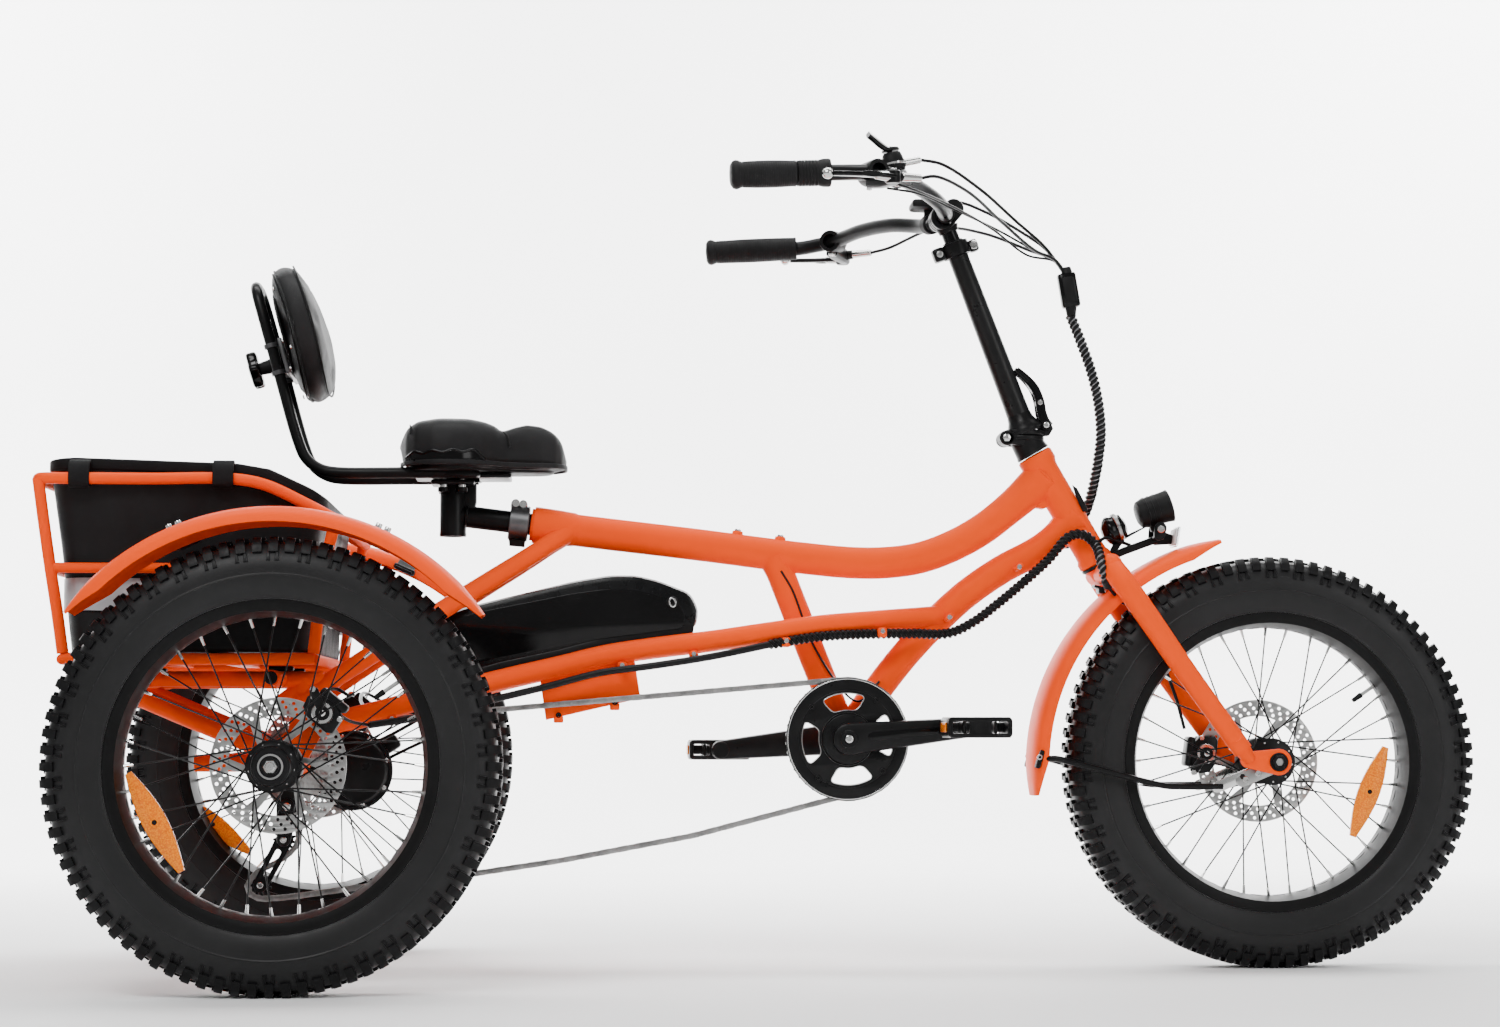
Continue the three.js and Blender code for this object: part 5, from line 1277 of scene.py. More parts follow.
def shifter_and_display():
    base, top = vec(151, -237, 1118), vec(146, -237, 1143)
    axis = (top - base) / np.linalg.norm(top - base)
    parts = [
        (turned([(0, 0), (15, 0), (16, 3), (15.4, 14), (13.6, 22), (12, 25), (0, 25)], base, axis, 40),
         PLASTIC),
        (turned([(15.4, 7), (16.6, 8), (16.4, 10.5), (15.2, 11), (15.4, 7)], base, axis, 40), SILVER),
        (rod((157, -227, 1110), (145, -247, 1110), 15.5, 15.5, 32, 1.5, 11.2), BLACK),
        (rod((164, -232, 1130), (188, -224, 1136), 5.2, 4.6, 20), SILVER),
        (bolt((152, -250, 1098), vec(0, -0.4, -0.9), 4, 3.4), SILVER),
    ]
    piece("shifter_pod", "bars", parts, ["shifter"])
    centre = vec(145.5, -236, 1144.6)
    paddle = [(142, -240, 1147), (132, -250, 1150), (120, -259, 1157), (111, -263, 1163)]
    parts = [
        (rod(centre, centre + axis * 5, 13, 12, 36, 1.2), BLACK),
        (bolt(centre + axis * 5, axis, 4.6, 2.2), SILVER),
        (sweep(smooth_path(paddle, 3), rounded(8, 3.6, 2.4), ref=vec(0.5, 0.8, 0)), GLOSS),
    ]
    piece("shift_lever_paddle", "shift_lever_body", parts, ["shift_lever"])
    place = basis((229, 68, 1121), vec(1, 0, -0.02), Y)
    parts = [
        (block((42, 56, 12), place, 4), PLASTIC),
        (block((34, 46, 1.4), basis((229, 68, 1127.2), X, Y), 0.5), GLOSS),
        (rod((240, 62, 1093), (235, 76, 1094), 15, 15, 30, 1.5, 11.2), PLASTIC),
        (block((16, 12, 16), basis((236, 69, 1110), X, Y), 3), PLASTIC),
    ]
    for y in (52, 62, 72):
        parts.append((bolt((214, y + 4, 1126.8), Z, 3.2, 1.6), RUBBER))
    piece("display_unit", "bars", parts, ["display"])


# ---------------------------------------------------------------- cables

HARNESS = [(433, -18, 946), (448, -22, 905), (463, -22, 860), (473, -19, 815), (477, -12, 772),
           (474, 0, 730),
           (468, 16, 690), (460, 31, 660), (446, 38, 634), (428, 30, 612)]
LOOM = [(461, -44, 612), (453, -39, 621), (438, -38, 626), (422, -38, 620), (396, -37, 590),
        (361, -36, 558),
        (311, -36, 517), (285, -36, 498), (250, -40, 482), (195, -48, 481), (129, -54, 480), (60, -60, 476),
        (-10, -61.5, 465), (-91, -70, 448), (-178, -72, 434), (-253, -72, 424), (-330, -78, 404),
        (-412, -92, 384),
        (-500, -112, 362), (-575, -136, 350)]
FORK_BRANCH = [(461, -44, 612), (464, -55, 603), (465, -66, 590), (469, -68, 572), (477, -60, 553)]


def spiral(points, radius, pitch, wire=1.5, sides=6, start=0.0):
    """A band wound round a path."""
    path = smooth_path(points, 3)
    ahead = np.gradient(path, axis=0)
    ahead /= np.linalg.norm(ahead, axis=1)[:, None]
    length = np.concatenate([[0], np.cumsum(np.linalg.norm(np.diff(path, axis=0), axis=1))])
    count = int(length[-1] / pitch * 14)
    s = np.linspace(0, length[-1], count)
    centre = np.stack([np.interp(s, length, path[:, i]) for i in range(3)], 1)
    along = np.stack([np.interp(s, length, ahead[:, i]) for i in range(3)], 1)
    along /= np.linalg.norm(along, axis=1)[:, None]
    u = np.cross(along, Y)
    u /= np.linalg.norm(u, axis=1)[:, None]
    v = np.cross(along, u)
    turn = 2 * math.pi * s / pitch + start
    line = centre + u * (radius * np.cos(turn))[:, None] + v * (radius * np.sin(turn))[:, None]
    return sweep(line, circle(wire, sides), ref=vec(0.3, 0.5, 0.81))


def cable_piece(name, parts, replaces=()):
    mesh = build_mesh(name, parts)
    made = piece(name, None, None, replaces, mesh=mesh)
    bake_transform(made)


def wrapped_bundle(points, radius, core=None):
    """A bundle of wires inside a black spiral wrap, in two bands; unless another core is given, the wires
    are light grey, partly their own colour and partly painted highlight seen through the wrap's gaps.
    """
    bands = [(spiral(points, radius - 1.6, 15.0, 2.9, start=turn), SHEATH) for turn in (0, math.pi)]
    return [(pipe(points, radius - 1.2, 14, 5), core or WIRES_WITH_PAINTED_HIGHLIGHT), *bands]


def bar_cables():
    runs = [
        [(176, -330, 1091), (196, -318, 1096), (250, -250, 1088), (316, -140, 1062), (374, -60, 1036)],
        [(176, 330, 1091), (200, 318, 1096), (262, 220, 1112), (322, 100, 1086), (380, 30, 1050)],
        [(188, -224, 1136), (220, -205, 1134), (284, -140, 1110), (346, -70, 1076), (392, -34, 1046)],
        [(252, 72, 1121), (276, 60, 1126), (316, 30, 1106), (364, 0, 1072), (396, -8, 1048)],
        [(120, -308, 1094), (160, -300, 1084), (230, -200, 1078), (310, -90, 1060), (366, -40, 1032)],
        [(140, -244, 1092), (190, -190, 1094), (250, -120, 1084), (326, -60, 1062), (384, -24, 1038)],
    ]
    parts = []
    for i, run in enumerate(runs):
        end = [(412, -22 + i * 2, 1026), (427, -19 + (i % 3 - 1) * 4, 1002),
               (431, -17 + (i % 3 - 1) * 4, 986)]
        parts.append((pipe(run + end, 2.4 if i < 4 else 1.7, 10, 6), SHEATH))
    along_box = vec(0.16, 0, -0.987)
    box_place = basis(vec(430, -18, 984), vec(0.987, 0, 0.16), Y)
    box_place = (box_place[0], np.stack([vec(0.987, 0, 0.16), Y, -along_box]))
    parts.append((block((27, 20, 52), box_place, 4), GLOSS))
    parts.append((block((20, 22, 40), box_place, 3), PLASTIC))
    parts.append((rod(vec(426, -18, 1018), vec(428, -18, 1006), 7, 9, 20), PLASTIC))
    parts.append((rod(vec(433, -18, 962), vec(434, -18, 944), 9, 6.5, 20), PLASTIC))
    cable_piece("cables_from_bars", parts,
                ["bar_cables"])


def front_harness():
    cable_piece("harness_upper", wrapped_bundle(HARNESS[:6], 7),
                ["front_harness"])
    cable_piece("harness_lower", wrapped_bundle(HARNESS[5:], 7))
    grommet = [(rod((474, -64, 559), (479, -58, 548), 8.5, 7.5, 20, 1.2), RUBBER)]
    cable_piece("harness_to_fork", wrapped_bundle(FORK_BRANCH, 6.5) + grommet)


def frame_loom():
    parts = wrapped_bundle(LOOM[:13], 6.6, SHEATH)
    parts.append((pipe(LOOM[12:], 5.2, 14, 6), SHEATH))
    piece("loom_along_frame", "frame", parts, ["frame_loom"])
    runs = [
        [(-575, -136, 350), (-600, -170, 356), (-630, -260, 388), (-606, -318, 398), (-588, -330, 388)],
        [(-500, -108, 362), (-560, -90, 330), (-640, -80, 300), (-690, -70, 262), (-706, -62, 240)],
        [(-500, -106, 366), (-560, -20, 372), (-600, 120, 380), (-606, 300, 398), (-588, 330, 388)],
        [(-412, -88, 380), (-470, -40, 344), (-540, 0, 310), (-560, 4, 300)],
    ]
    parts = [(pipe(run, 2.5, 10, 6), SHEATH) for run in runs]
    piece("rear_cables", "frame", parts)
    front = [(480, -56, 546), (500, -40, 528), (530, 0, 520), (562, 40, 470), (596, 62, 400),
             (612, 64, 344)]
    piece("front_brake_cable", "steering", [(pipe(front, 2.5, 10, 6), SHEATH)])


# ---------------------------------------------------------------- battery and drive

BATTERY = [(-500, 405), (-500, 486), (-481, 505), (-441, 519), (-350, 541), (-289, 556), (-239, 564),
           (-202, 564), (-171, 557), (-124, 539), (-112, 515), (-116, 489), (-250, 468), (-310, 452.5),
           (-395, 434)]


def rounded_outline(points, radius=8, steps=4):
    """An XZ outline with its corners rounded."""
    points = np.array(points, float)
    out = []
    for before, corner, after in zip(np.roll(points, 1, 0), points, np.roll(points, -1, 0)):
        reach = min(radius, np.linalg.norm(before - corner) * 0.45, np.linalg.norm(after - corner) * 0.45)
        a = corner + (before - corner) / np.linalg.norm(before - corner) * reach
        b = corner + (after - corner) / np.linalg.norm(after - corner) * reach
        out += [a * (1 - t) ** 2 + corner * 2 * t * (1 - t) + b * t ** 2 for t in np.linspace(0, 1, steps)]
    return np.array(out)


def scaled_outline(outline, share):
    middle = (outline.min(0) + outline.max(0)) / 2
    return middle + (outline - middle) * share


def battery():
    """The battery's case: a body with a wide bevel, a raised lid panel, an end cap and a lock."""
    outline = rounded_outline(BATTERY, 10)
    inner = rounded_outline(BATTERY, 10)
    parts = [(side_plate([outline], -47, 47, 9), SHELL)]
    panel = scaled_outline(inner, np.array([0.9, 0.74]))
    for side in (1, -1):
        parts.append((side_plate([panel], 46.4 * side, 47.6 * side, 0.5), GLOSS))
        parts.append((disc(-150, 525, 46 * side, 49 * side, 9, 32, 0.8), PLASTIC))
        lock = [oval(-150, 525, 5.4, 7.4, 0.3), oval(-150, 525, 3.4, 5.2, 0.3)]
        parts.append((side_plate(lock, 48.6 * side, 49.8 * side, 0.3), SILVER))
        parts.append((side_plate([[(-152, 520), (-148, 520), (-148, 530), (-152, 530)]], 48.6 * side,
                                 49.4 * side, 0.3), GLOSS))
    seam_at = -470
    parts.append((side_plate([[(seam_at, 412), (seam_at + 3, 413), (seam_at + 3, 508), (seam_at, 507)]],
                             -47.6, 47.6, 0.5), PLASTIC))
    base = [(-500, 410), (-395, 440), (-310, 458), (-250, 474), (-118, 495), (-122, 472), (-250, 448),
            (-390, 414),
            (-500, 388)]
    parts.append((side_plate([base], -46, 46, 2), BLACK))
    piece("battery_case", "frame", parts, ["battery"])


def drive_unit():
    """The differential, with the motor and its bolted flange, on the rear axle."""
    parts = [
        (turned([(13, -30), (34, -30), (38, -26), (38, 70), (34, 80), (13, 80), (13, -30)],
                (REAR_AXLE_X, 0, AXLE_Z), Y, 56), BLACK),
        (turned([(0, -26), (30, -26), (46, -22), (52, -14), (52, 52), (47, 60), (30, 66), (0, 66)],
                (-605, 0, 285), Y, 72), BLACK),
        (turned([(40, -14), (55.5, -14), (57, -12.5), (57, -9.5), (55.5, -8), (40, -8), (40, -14)],
                (-605, 0, 285), Y, 72), BLACK),
        (side_plate([stadium((-605, 285), (REAR_AXLE_X, AXLE_Z), 46, 34, 16)], -22, 40, 4), BLACK),
    ]
    for angle, x, z in ring_of(8, 50.5, -605, 285, 0.3):
        parts.append((disc(x, z, -16, -6, 5.4, 16), BLACK))
        parts.append((bolt((x, -16, z), -Y, 3.4, 2.4), SILVER))
    for angle, x, z in ring_of(12, 44, -605, 285):
        fin = basis((x, 20, z), vec(math.cos(angle), 0, math.sin(angle)), Y)
        parts.append((block((18, 50, 3), fin, 1.2), BLACK))
    parts.append((block((44, 30, 22), basis((-560, 30, 318), vec(0.8, 0, 0.5), Y), 5), BLACK))
    piece("drive_unit_case", "frame", parts, ["drive_unit"])


def sprocket(x, z, y, pitch_radius, count, thickness, windows=0, bore=13):
    """A toothed wheel about an axis parallel to Y."""
    outline = []
    for i in range(count):
        a = 2 * math.pi * i / count
        for share, radius in ((0.12, pitch_radius - 3.2), (0.3, pitch_radius + 2.2),
                              (0.44, pitch_radius + 3.4),
                              (0.56, pitch_radius + 3.4), (0.7, pitch_radius + 2.2),
                              (0.88, pitch_radius - 3.2)):
            b = a + share * 2 * math.pi / count
            outline.append((x + radius * math.cos(b), z + radius * math.sin(b)))
    holes = [flat_circle(x, z, bore)]
    for i in range(windows):
        a0 = 2 * math.pi * i / windows + 0.16
        a1 = 2 * math.pi * (i + 1) / windows - 0.16
        outer = arc_outline(pitch_radius - 10, x, z, a0, a1, 8)
        inner = arc_outline(pitch_radius - 21, x, z, a0 + 0.1, a1 - 0.1, 8)
        holes.append(np.vstack([outer, inner[::-1]]))
    return side_plate([outline, *holes], y - thickness / 2, y + thickness / 2, 0.4)


def cassette():
    parts = []
    for i, (radius, count) in enumerate(((55, 27), (48, 24), (42.5, 21), (37, 18), (32.5, 16), (28.5, 14))):
        parts.append((sprocket(CASSETTE[0] - 76, AXLE_Z, -36 - i * 5.0, radius, count, 2,
                               5 if i < 2 else 0), STEEL))
    parts.append((turned([(13, -34), (24, -34), (26, -40), (22, -62), (19, -64), (13, -64), (13, -34)],
                         (REAR_AXLE_X, 0, AXLE_Z), Y, 40), BLACK))
    piece("cassette_cogs", "cassette_body", parts, ["cassette"])


def derailleur():
    guide, tension = (-697, 189), (-730, 125)
    parts = []
    for x, z in (guide, tension):
        parts.append((sprocket(x, z, CHAIN_Y, 13, 11, 3.4, 0, 4), PLASTIC))
        parts.append((disc(x, z, CHAIN_Y - 9, CHAIN_Y + 9, 4.4, 20), STEEL))
    for y0, y1 in ((CHAIN_Y - 8, CHAIN_Y - 5.6), (CHAIN_Y + 5.6, CHAIN_Y + 8)):
        outline = stadium(guide, tension, 12, 10)
        hole = stadium((-706, 171), (-722, 141), 4.5, 4)
        parts.append((side_plate([outline, hole], y0, y1, 0.6), BLACK))
    parts += [
        (side_plate([stadium((-688, 262), (-692, 230), 13, 10)], -78, -70, 1.6), BLACK),
        (side_plate([stadium((-692, 236), guide, 16, 10)], -70, -60, 3), BLACK),
        (disc(-692, 236, -84, -60, 11, 28, 1.5), BLACK),
        (bolt((-692, -84, 236), -Y, 5.6, 2.4), SILVER),
        (disc(guide[0], guide[1], -72, -59, 8, 24), BLACK),
        (bolt((guide[0], -72, guide[1]), -Y, 4.4, 2), SILVER),
        (bolt((tension[0], -59, tension[1]), -Y, 4.4, 2), SILVER),
        (rod((-688, -70, 262), (-688, -34, 262), 8, 8, 22), BLACK),
        (block((34, 12, 22), basis((-698, -76, 214), vec(-0.35, 0, -0.94), Y), 4), PLASTIC),
    ]
    piece("derailleur_black", "frame", parts, ["derailleur"])


def arc_points(cx, cz, radius, start, end, step=6):
    count = max(2, int(abs(end - start) / step))
    return [(cx + radius * math.cos(a), cz + radius * math.sin(a))
            for a in np.radians(np.linspace(start, end, count))]


def chain_line():
    """The chain's closed centre line in XZ, round the chainring, cassette and both pulleys."""
    run = arc_points(CRANK[0], CRANK[2], 85, -100, 96)
    run += arc_points(REAR_AXLE_X, AXLE_Z, 50, 95, 165)
    run += [(-733, 290), (-722, 262), (-700, 234), (-682, 214), (-677, 197), (-677, 186), (-684, 174),
            (-705, 158), (-736, 143),
            (-749, 127), (-744, 111), (-729, 105), (-690, 108), (-596, 121), (-437, 139), (-309, 158),
            (-120, 193)]
    return np.array([(x, CHAIN_Y, z) for x, z in run])


def chain():
    """A roller chain: pairs of outer and inner plates with rollers between them."""
    line = chain_line()
    closed = np.vstack([line, line[:1]])
    length = np.concatenate([[0], np.cumsum(np.linalg.norm(np.diff(closed, axis=0), axis=1))])
    count = int(length[-1] / 12.7 / 2) * 2
    s = np.linspace(0, length[-1], count, endpoint=False)
    pins = np.stack([np.interp(s, length, closed[:, i]) for i in range(3)], 1)
    pitch = length[-1] / count
    waist = lambda radius: [stadium((0, 0), (pitch, 0), radius, radius, 6)]
    flat = (np.zeros(3), np.eye(3))
    plates = {kind: slab(waist(4.1 if kind else 3.9), 1.0, flat, 0.2) for kind in (0, 1)}
    roller = rod((0, -3.2, 0), (0, 3.2, 0), 3.8, 3.8, 10, 0.3)
    pin = rod((0, -5, 0), (0, 5, 0), 1.7, 1.7, 8, 0.2)
    made, rollers = [], []
    for i, (here, there) in enumerate(zip(pins, np.roll(pins, -1, 0))):
        along = (there - here) / np.linalg.norm(there - here)
        across = np.cross(along, Y)
        outer = i % 2
        for side in (1, -1):
            place = (here + Y * side * (4.1 if outer else 2.9),
                     np.stack([along, across, np.cross(along, across)]))
            made.append(placed(plates[outer], place))
        rollers.append(moved(roller, here))
        made.append(moved(pin, here))
    piece("roller_chain", "frame", [(joined(made), CHAIN), (joined(rollers), STEEL)],
          ["chain"])


# ---------------------------------------------------------------- cranks and pedals


def crank_arm(side, y0, y1):
    angle = CRANK_ANGLE if side < 0 else CRANK_ANGLE + math.pi
    ahead = vec(math.cos(angle), 0, math.sin(angle))
    tip = CRANK + ahead * CRANK_LENGTH
    outline = stadium((CRANK[0], CRANK[2]), (tip[0], tip[2]), 23, 14, 16)
    parts = [(side_plate([outline], y0, y1, 5), BLACK)]
    groove = stadium((CRANK + ahead * 34)[[0, 2]], (CRANK + ahead * 146)[[0, 2]], 7, 4.5, 8)
    outer = y0 if side < 0 else y1
    parts.append((side_plate([groove], outer - 0.5, outer + 0.5, 0.4), GLOSS))
    parts.append((disc(tip[0], tip[2], y0 - 1, y1 + 1, 12.5, 32, 1.2), BLACK))
    parts.append((disc(CRANK[0], CRANK[2], *sorted((outer, outer + 3 * side)), 13, 32, 1), BLACK))
    parts.append((bolt((CRANK[0], outer + 3 * side, CRANK[2]), Y * side, 5.4, 2.4), SILVER))
    return parts


def cranks():
    parts = crank_arm(-1, -84, -68)
    angle = CRANK_ANGLE
    cx, cz = CRANK[0], CRANK[2]
    guard = [flat_circle(cx, cz, 88, 96), flat_circle(cx, cz, 68, 64)]
    parts.append((side_plate(guard, -61, -57.6, 1), BLACK))
    parts.append((side_plate([flat_circle(cx, cz, 86.6, 96), flat_circle(cx, cz, 85, 96)], -62, -60.8,
                             0.3), SILVER))
    windows = []
    for i in range(4):
        middle = angle + i * math.pi / 2
        outer = arc_outline(66, cx, cz, middle - 0.5, middle + 0.5, 5)
        inner = arc_outline(42, cx, cz, middle - 0.42, middle + 0.42, 3)
        windows.append(rounded_outline(np.vstack([outer, inner[::-1]]), 10, 6))
    spider = [flat_circle(cx, cz, 70, 72), *windows]
    parts.append((side_plate(spider, -62, -56, 1.4), BLACK))
    for window in windows:
        edge = smooth_path([(x, -62.1, z) for x, z in window], 4, closed=True)
        parts.append((sweep(edge, circle(0.8, 6), ref=Y, closed=True), STEEL))
    for i in range(4):
        middle = angle + math.pi / 4 + i * math.pi / 2
        x, z = cx + 66 * math.cos(middle), cz + 72 * math.sin(middle)
        parts.append((bolt((x, -62, z), -Y, 4.6, 2.4), BLACK))
    for y in (-60.4, -61.2):
        ring = [(37 + (y + 61) * 2, y), (38 + (y + 61) * 2, y - 1.4), (39 + (y + 61) * 2, y),
                (37 + (y + 61) * 2, y)]
        parts.append((turned(ring, (cx, 0, cz), Y, 64), STEEL))
    parts.append((sprocket(cx, cz, CHAIN_Y, 85, 42, 2.4, 0, 70), STEEL))
    parts.append((disc(cx, cz, -70, -36, 14, 32), BLACK))
    parts.append((side_plate([flat_circle(cx, cz, 36, 48)], -68, -55, 2), BLACK))
    piece("crankset_and_guard", "cranks", parts, ["crankset_right"])
    parts = crank_arm(1, 66, 81)
    parts.append((disc(cx, cz, 39, 68, 14, 32), BLACK))
    piece("crank_arm_left", "cranks", parts, ["crank_left"])


def pedal(side, name, near, far):
    """A cage pedal with pins, amber reflectors and its axle."""
    angle = CRANK_ANGLE if side < 0 else CRANK_ANGLE + math.pi
    x = CRANK[0] + CRANK_LENGTH * math.cos(angle)
    z = CRANK[2] + CRANK_LENGTH * math.sin(angle)
    y = lambda distance: side * (near + (far - near) * distance)
    centre = (x, y(0.5), z)
    parts = [(rod((x, side * (near - 9), z), (x, y(0.9), z), 7.5, 6.5, 24), STEEL)]
    parts.append((disc(x, z, *sorted((y(0.86), y(1.0))), 11, 32, 2), PLASTIC))
    parts.append((disc(x, z, *sorted((y(0.02), y(0.2))), 12, 32, 2), PLASTIC))
    for end in (1, -1):
        bar = basis((x + end * 42, centre[1], z), X, Y)
        parts.append((block((6, (far - near) * 0.92, 26), bar, 2.5), BLACK))
        parts.append((block((2.4, 52, 14), basis((x + end * 46.4, centre[1], z), X, Y), 1), AMBER))
    cage = [rounded(45, 14.5, 6) + [x, z]]
    cage += [rounded(12, 8.5, 3, 2) + [x + shift, z] for shift in (-27, 27)]
    for share in (0.03, 0.97):
        ends = sorted((y(share) - 2.6, y(share) + 2.6))
        parts.append((side_plate(cage, *ends, 1.2), BLACK))
    for offset in (-22, 22):
        parts.append((block((5, (far - near) * 0.9, 18), basis((x + offset, centre[1], z), X, Y), 2),
                      BLACK))
    parts.append((block((84, 7, 14), basis((x, y(0.5), z), X, Y), 2.4), BLACK))
    for px in (-42, 42):
        for share in (0.1, 0.3, 0.5, 0.7, 0.9):
            parts.append((rod((x + px, y(share), z - 14.5), (x + px, y(share), z + 14.5), 1.8, 1.4, 8),
                          STEEL))
    piece(f"pedal_{name}_cage", f"pedal_{name}_body", parts, [f"pedal_{name}"])


# ---------------------------------------------------------------- seat


def seat_post():
    tilt = SEAT_DIRECTION
    parts = [(rod(on_seat(-120), on_seat(110), 15.9, 15.9, 36, 1), BLACK)]
    upright = [(13, -1), (19, -1), (19.4, 2), (19, 6), (19, 74), (18, 76), (0, 76), (0, 30), (13, 28),
               (13, -1)]
    parts.append((turned(upright, (-465, 0, 622), Z, 44), BLACK))
    parts.append((weld(on_seat(94), tilt, 16.5, 3), BLACK))
    for y in (20, -20):
        for x in (-478, -452):
            parts.append((rod((x, y, 690), (x, y, 705), 6, 6, 18), SILVER))
            parts.append((rod((x, y, 684), (x, y, 691), 8.4, 8.4, 24), BLACK))
    parts.append((block((62, 62, 7), basis((-465, 0, 698), X, Y), 2), BLACK))
    web = [(-452, 697), (-431, 697), (-431, 670), (-436, 652), (-452, 642)]
    parts.append((side_plate([web], -9, 9, 4), BLACK))
    piece("seat_post_tubes", "seat", parts, ["seat_post"])


def soft_pad(name, shape, rings=26, columns=96):
    """A closed cover. shape(u, v, layer) gives a point of its upper (1) or lower (-1) side, with u
    and v inside a disc of radius 1."""
    points, faces = [], []
    for layer in (1, -1):
        start = len(points)
        points.append(shape(0, 0, layer))
        for i in range(1, rings + 1):
            share = math.sin(i / rings * math.pi / 2)
            for j in range(columns):
                a = 2 * math.pi * j / columns
                points.append(shape(share * math.cos(a), share * math.sin(a), layer))
        for j in range(columns):
            k = (j + 1) % columns
            faces.append([start, start + 1 + j, start + 1 + k])
            for i in range(rings - 1):
                a, b = start + 1 + i * columns, start + 1 + (i + 1) * columns
                faces.append([a + j, b + j, b + k, a + k])
    mesh = bpy.data.meshes.new(name)
    mesh.from_pydata((np.array(points) * 0.001).tolist(), [], faces)
    clean = bmesh.new()
    clean.from_mesh(mesh)
    bmesh.ops.remove_doubles(clean, verts=clean.verts, dist=3e-5)
    bmesh.ops.recalc_face_normals(clean, faces=clean.faces)
    clean.to_mesh(mesh)
    clean.free()
    mesh.materials.append(LEATHER)
    mesh.polygons.foreach_set("use_smooth", [True] * len(mesh.polygons))
    return mesh


CLOTH_STEPS = 15
CLOTH_PRESSURE, CLOTH_CAP = 4.0, 0.0035


def inflate(made, pressure=CLOTH_PRESSURE, cap=CLOTH_CAP):
    """Lets the cover bulge as cloth over foam, with the movement capped, and keeps the result."""
    rest = np.array([v.co for v in made.data.vertices])
    cloth = made.modifiers.new("cloth", "CLOTH")
    settings = cloth.settings
    settings.quality = 5
    settings.use_pressure = True
    settings.uniform_pressure_force = pressure
    settings.effector_weights.gravity = 0
    settings.tension_stiffness = 25
    settings.compression_stiffness = 12
    settings.bending_stiffness = 2.0
    scene = bpy.context.scene
    for step in range(1, CLOTH_STEPS + 1):
        scene.frame_set(step)
    shown = made.evaluated_get(bpy.context.evaluated_depsgraph_get())
    now = np.array([v.co for v in shown.data.vertices])
    made.modifiers.remove(cloth)
    scene.frame_set(1)
    if len(now) != len(rest) or not np.isfinite(now).all():
        return
    shift = now - rest
    size = np.linalg.norm(shift, axis=1)[:, None]
    made.data.vertices.foreach_set("co",
                                   (rest + shift * np.minimum(1, cap / np.maximum(size, 1e-9))).ravel())


def ridge(path, radius, closed=True, sides=10):
    return sweep(path, circle(radius, sides), ref=vec(0.1, 0.2, 0.97), closed=closed)


SEAT_LEFT, SEAT_RIGHT = -540.0, -301.0


def along_seat(x, values):
    """A value read off a table of (distance from the back, value), rounded between its points."""
    places, heights = zip(*values)
    near = [float(np.interp(x + shift, places, heights)) for shift in (-4, -2, 0, 2, 4)]
    return sum(near) / len(near)


def seat_half_width(x):
    """The saddle's half width: a wide back, a waist and a short nose."""
    points = [(-540, 0), (-537, 50), (-530, 84), (-515, 108), (-490, 122), (-465, 125), (-440, 118),
              (-420, 104),
              (-402, 86), (-385, 72), (-360, 64), (-335, 61), (-318, 54), (-308, 40), (-303, 24), (-301, 0)]
    return float(np.interp(x, *zip(*points)))


def seat_top(x):
    """The top line: a high back pad, a dip at the seam and a nose that rises and drops."""
    points = [(-544, 737), (-540, 745), (-537, 759), (-529, 773), (-513, 780.5), (-483, 783), (-441, 782),
              (-419, 778.5), (-403, 773), (-391, 767.5), (-377, 772.5), (-361, 777), (-340, 776),
              (-324, 770),
              (-311, 759), (-304, 743), (-301, 723)]
    return along_seat(x, points)


def seat_bottom(x):
    return along_seat(x, [(-540, 724), (-532, 719), (-500, 718), (-400, 718), (-320, 718), (-301, 719)])


def saddle_surface(x, across, layer, lift=0.0):
    """A point of the saddle at x, with across from -1 to 1 over its width."""
    high, low = seat_top(x), seat_bottom(x)
    middle = low + 0.22 * (high - low)
    away = min(1.0, abs(across))
    if layer < 0:
        return x, across * seat_half_width(x), middle - (1 - away ** 10) ** 0.4 * (middle - low) - lift
    crown = (1 - away ** 7) ** 0.5
    groove = 3.5 * math.exp(-(across / 0.14) ** 2) * math.exp(-((x + 470) / 50) ** 2)
    shelf = 3.0 * math.exp(-((x + 391 + 14 * (1 - away)) / 6) ** 2)
    return x, across * seat_half_width(x), middle + crown * (high - middle - groove - shelf) + lift


def saddle_point(u, v, layer):
    x = (SEAT_LEFT + SEAT_RIGHT) / 2 + u * (SEAT_RIGHT - SEAT_LEFT) / 2
    span = math.sqrt(max(0.0, 1 - u * u))
    across = 0.0 if span < 1e-6 else max(-1.0, min(1.0, v / span))
    return saddle_surface(x, across, layer)


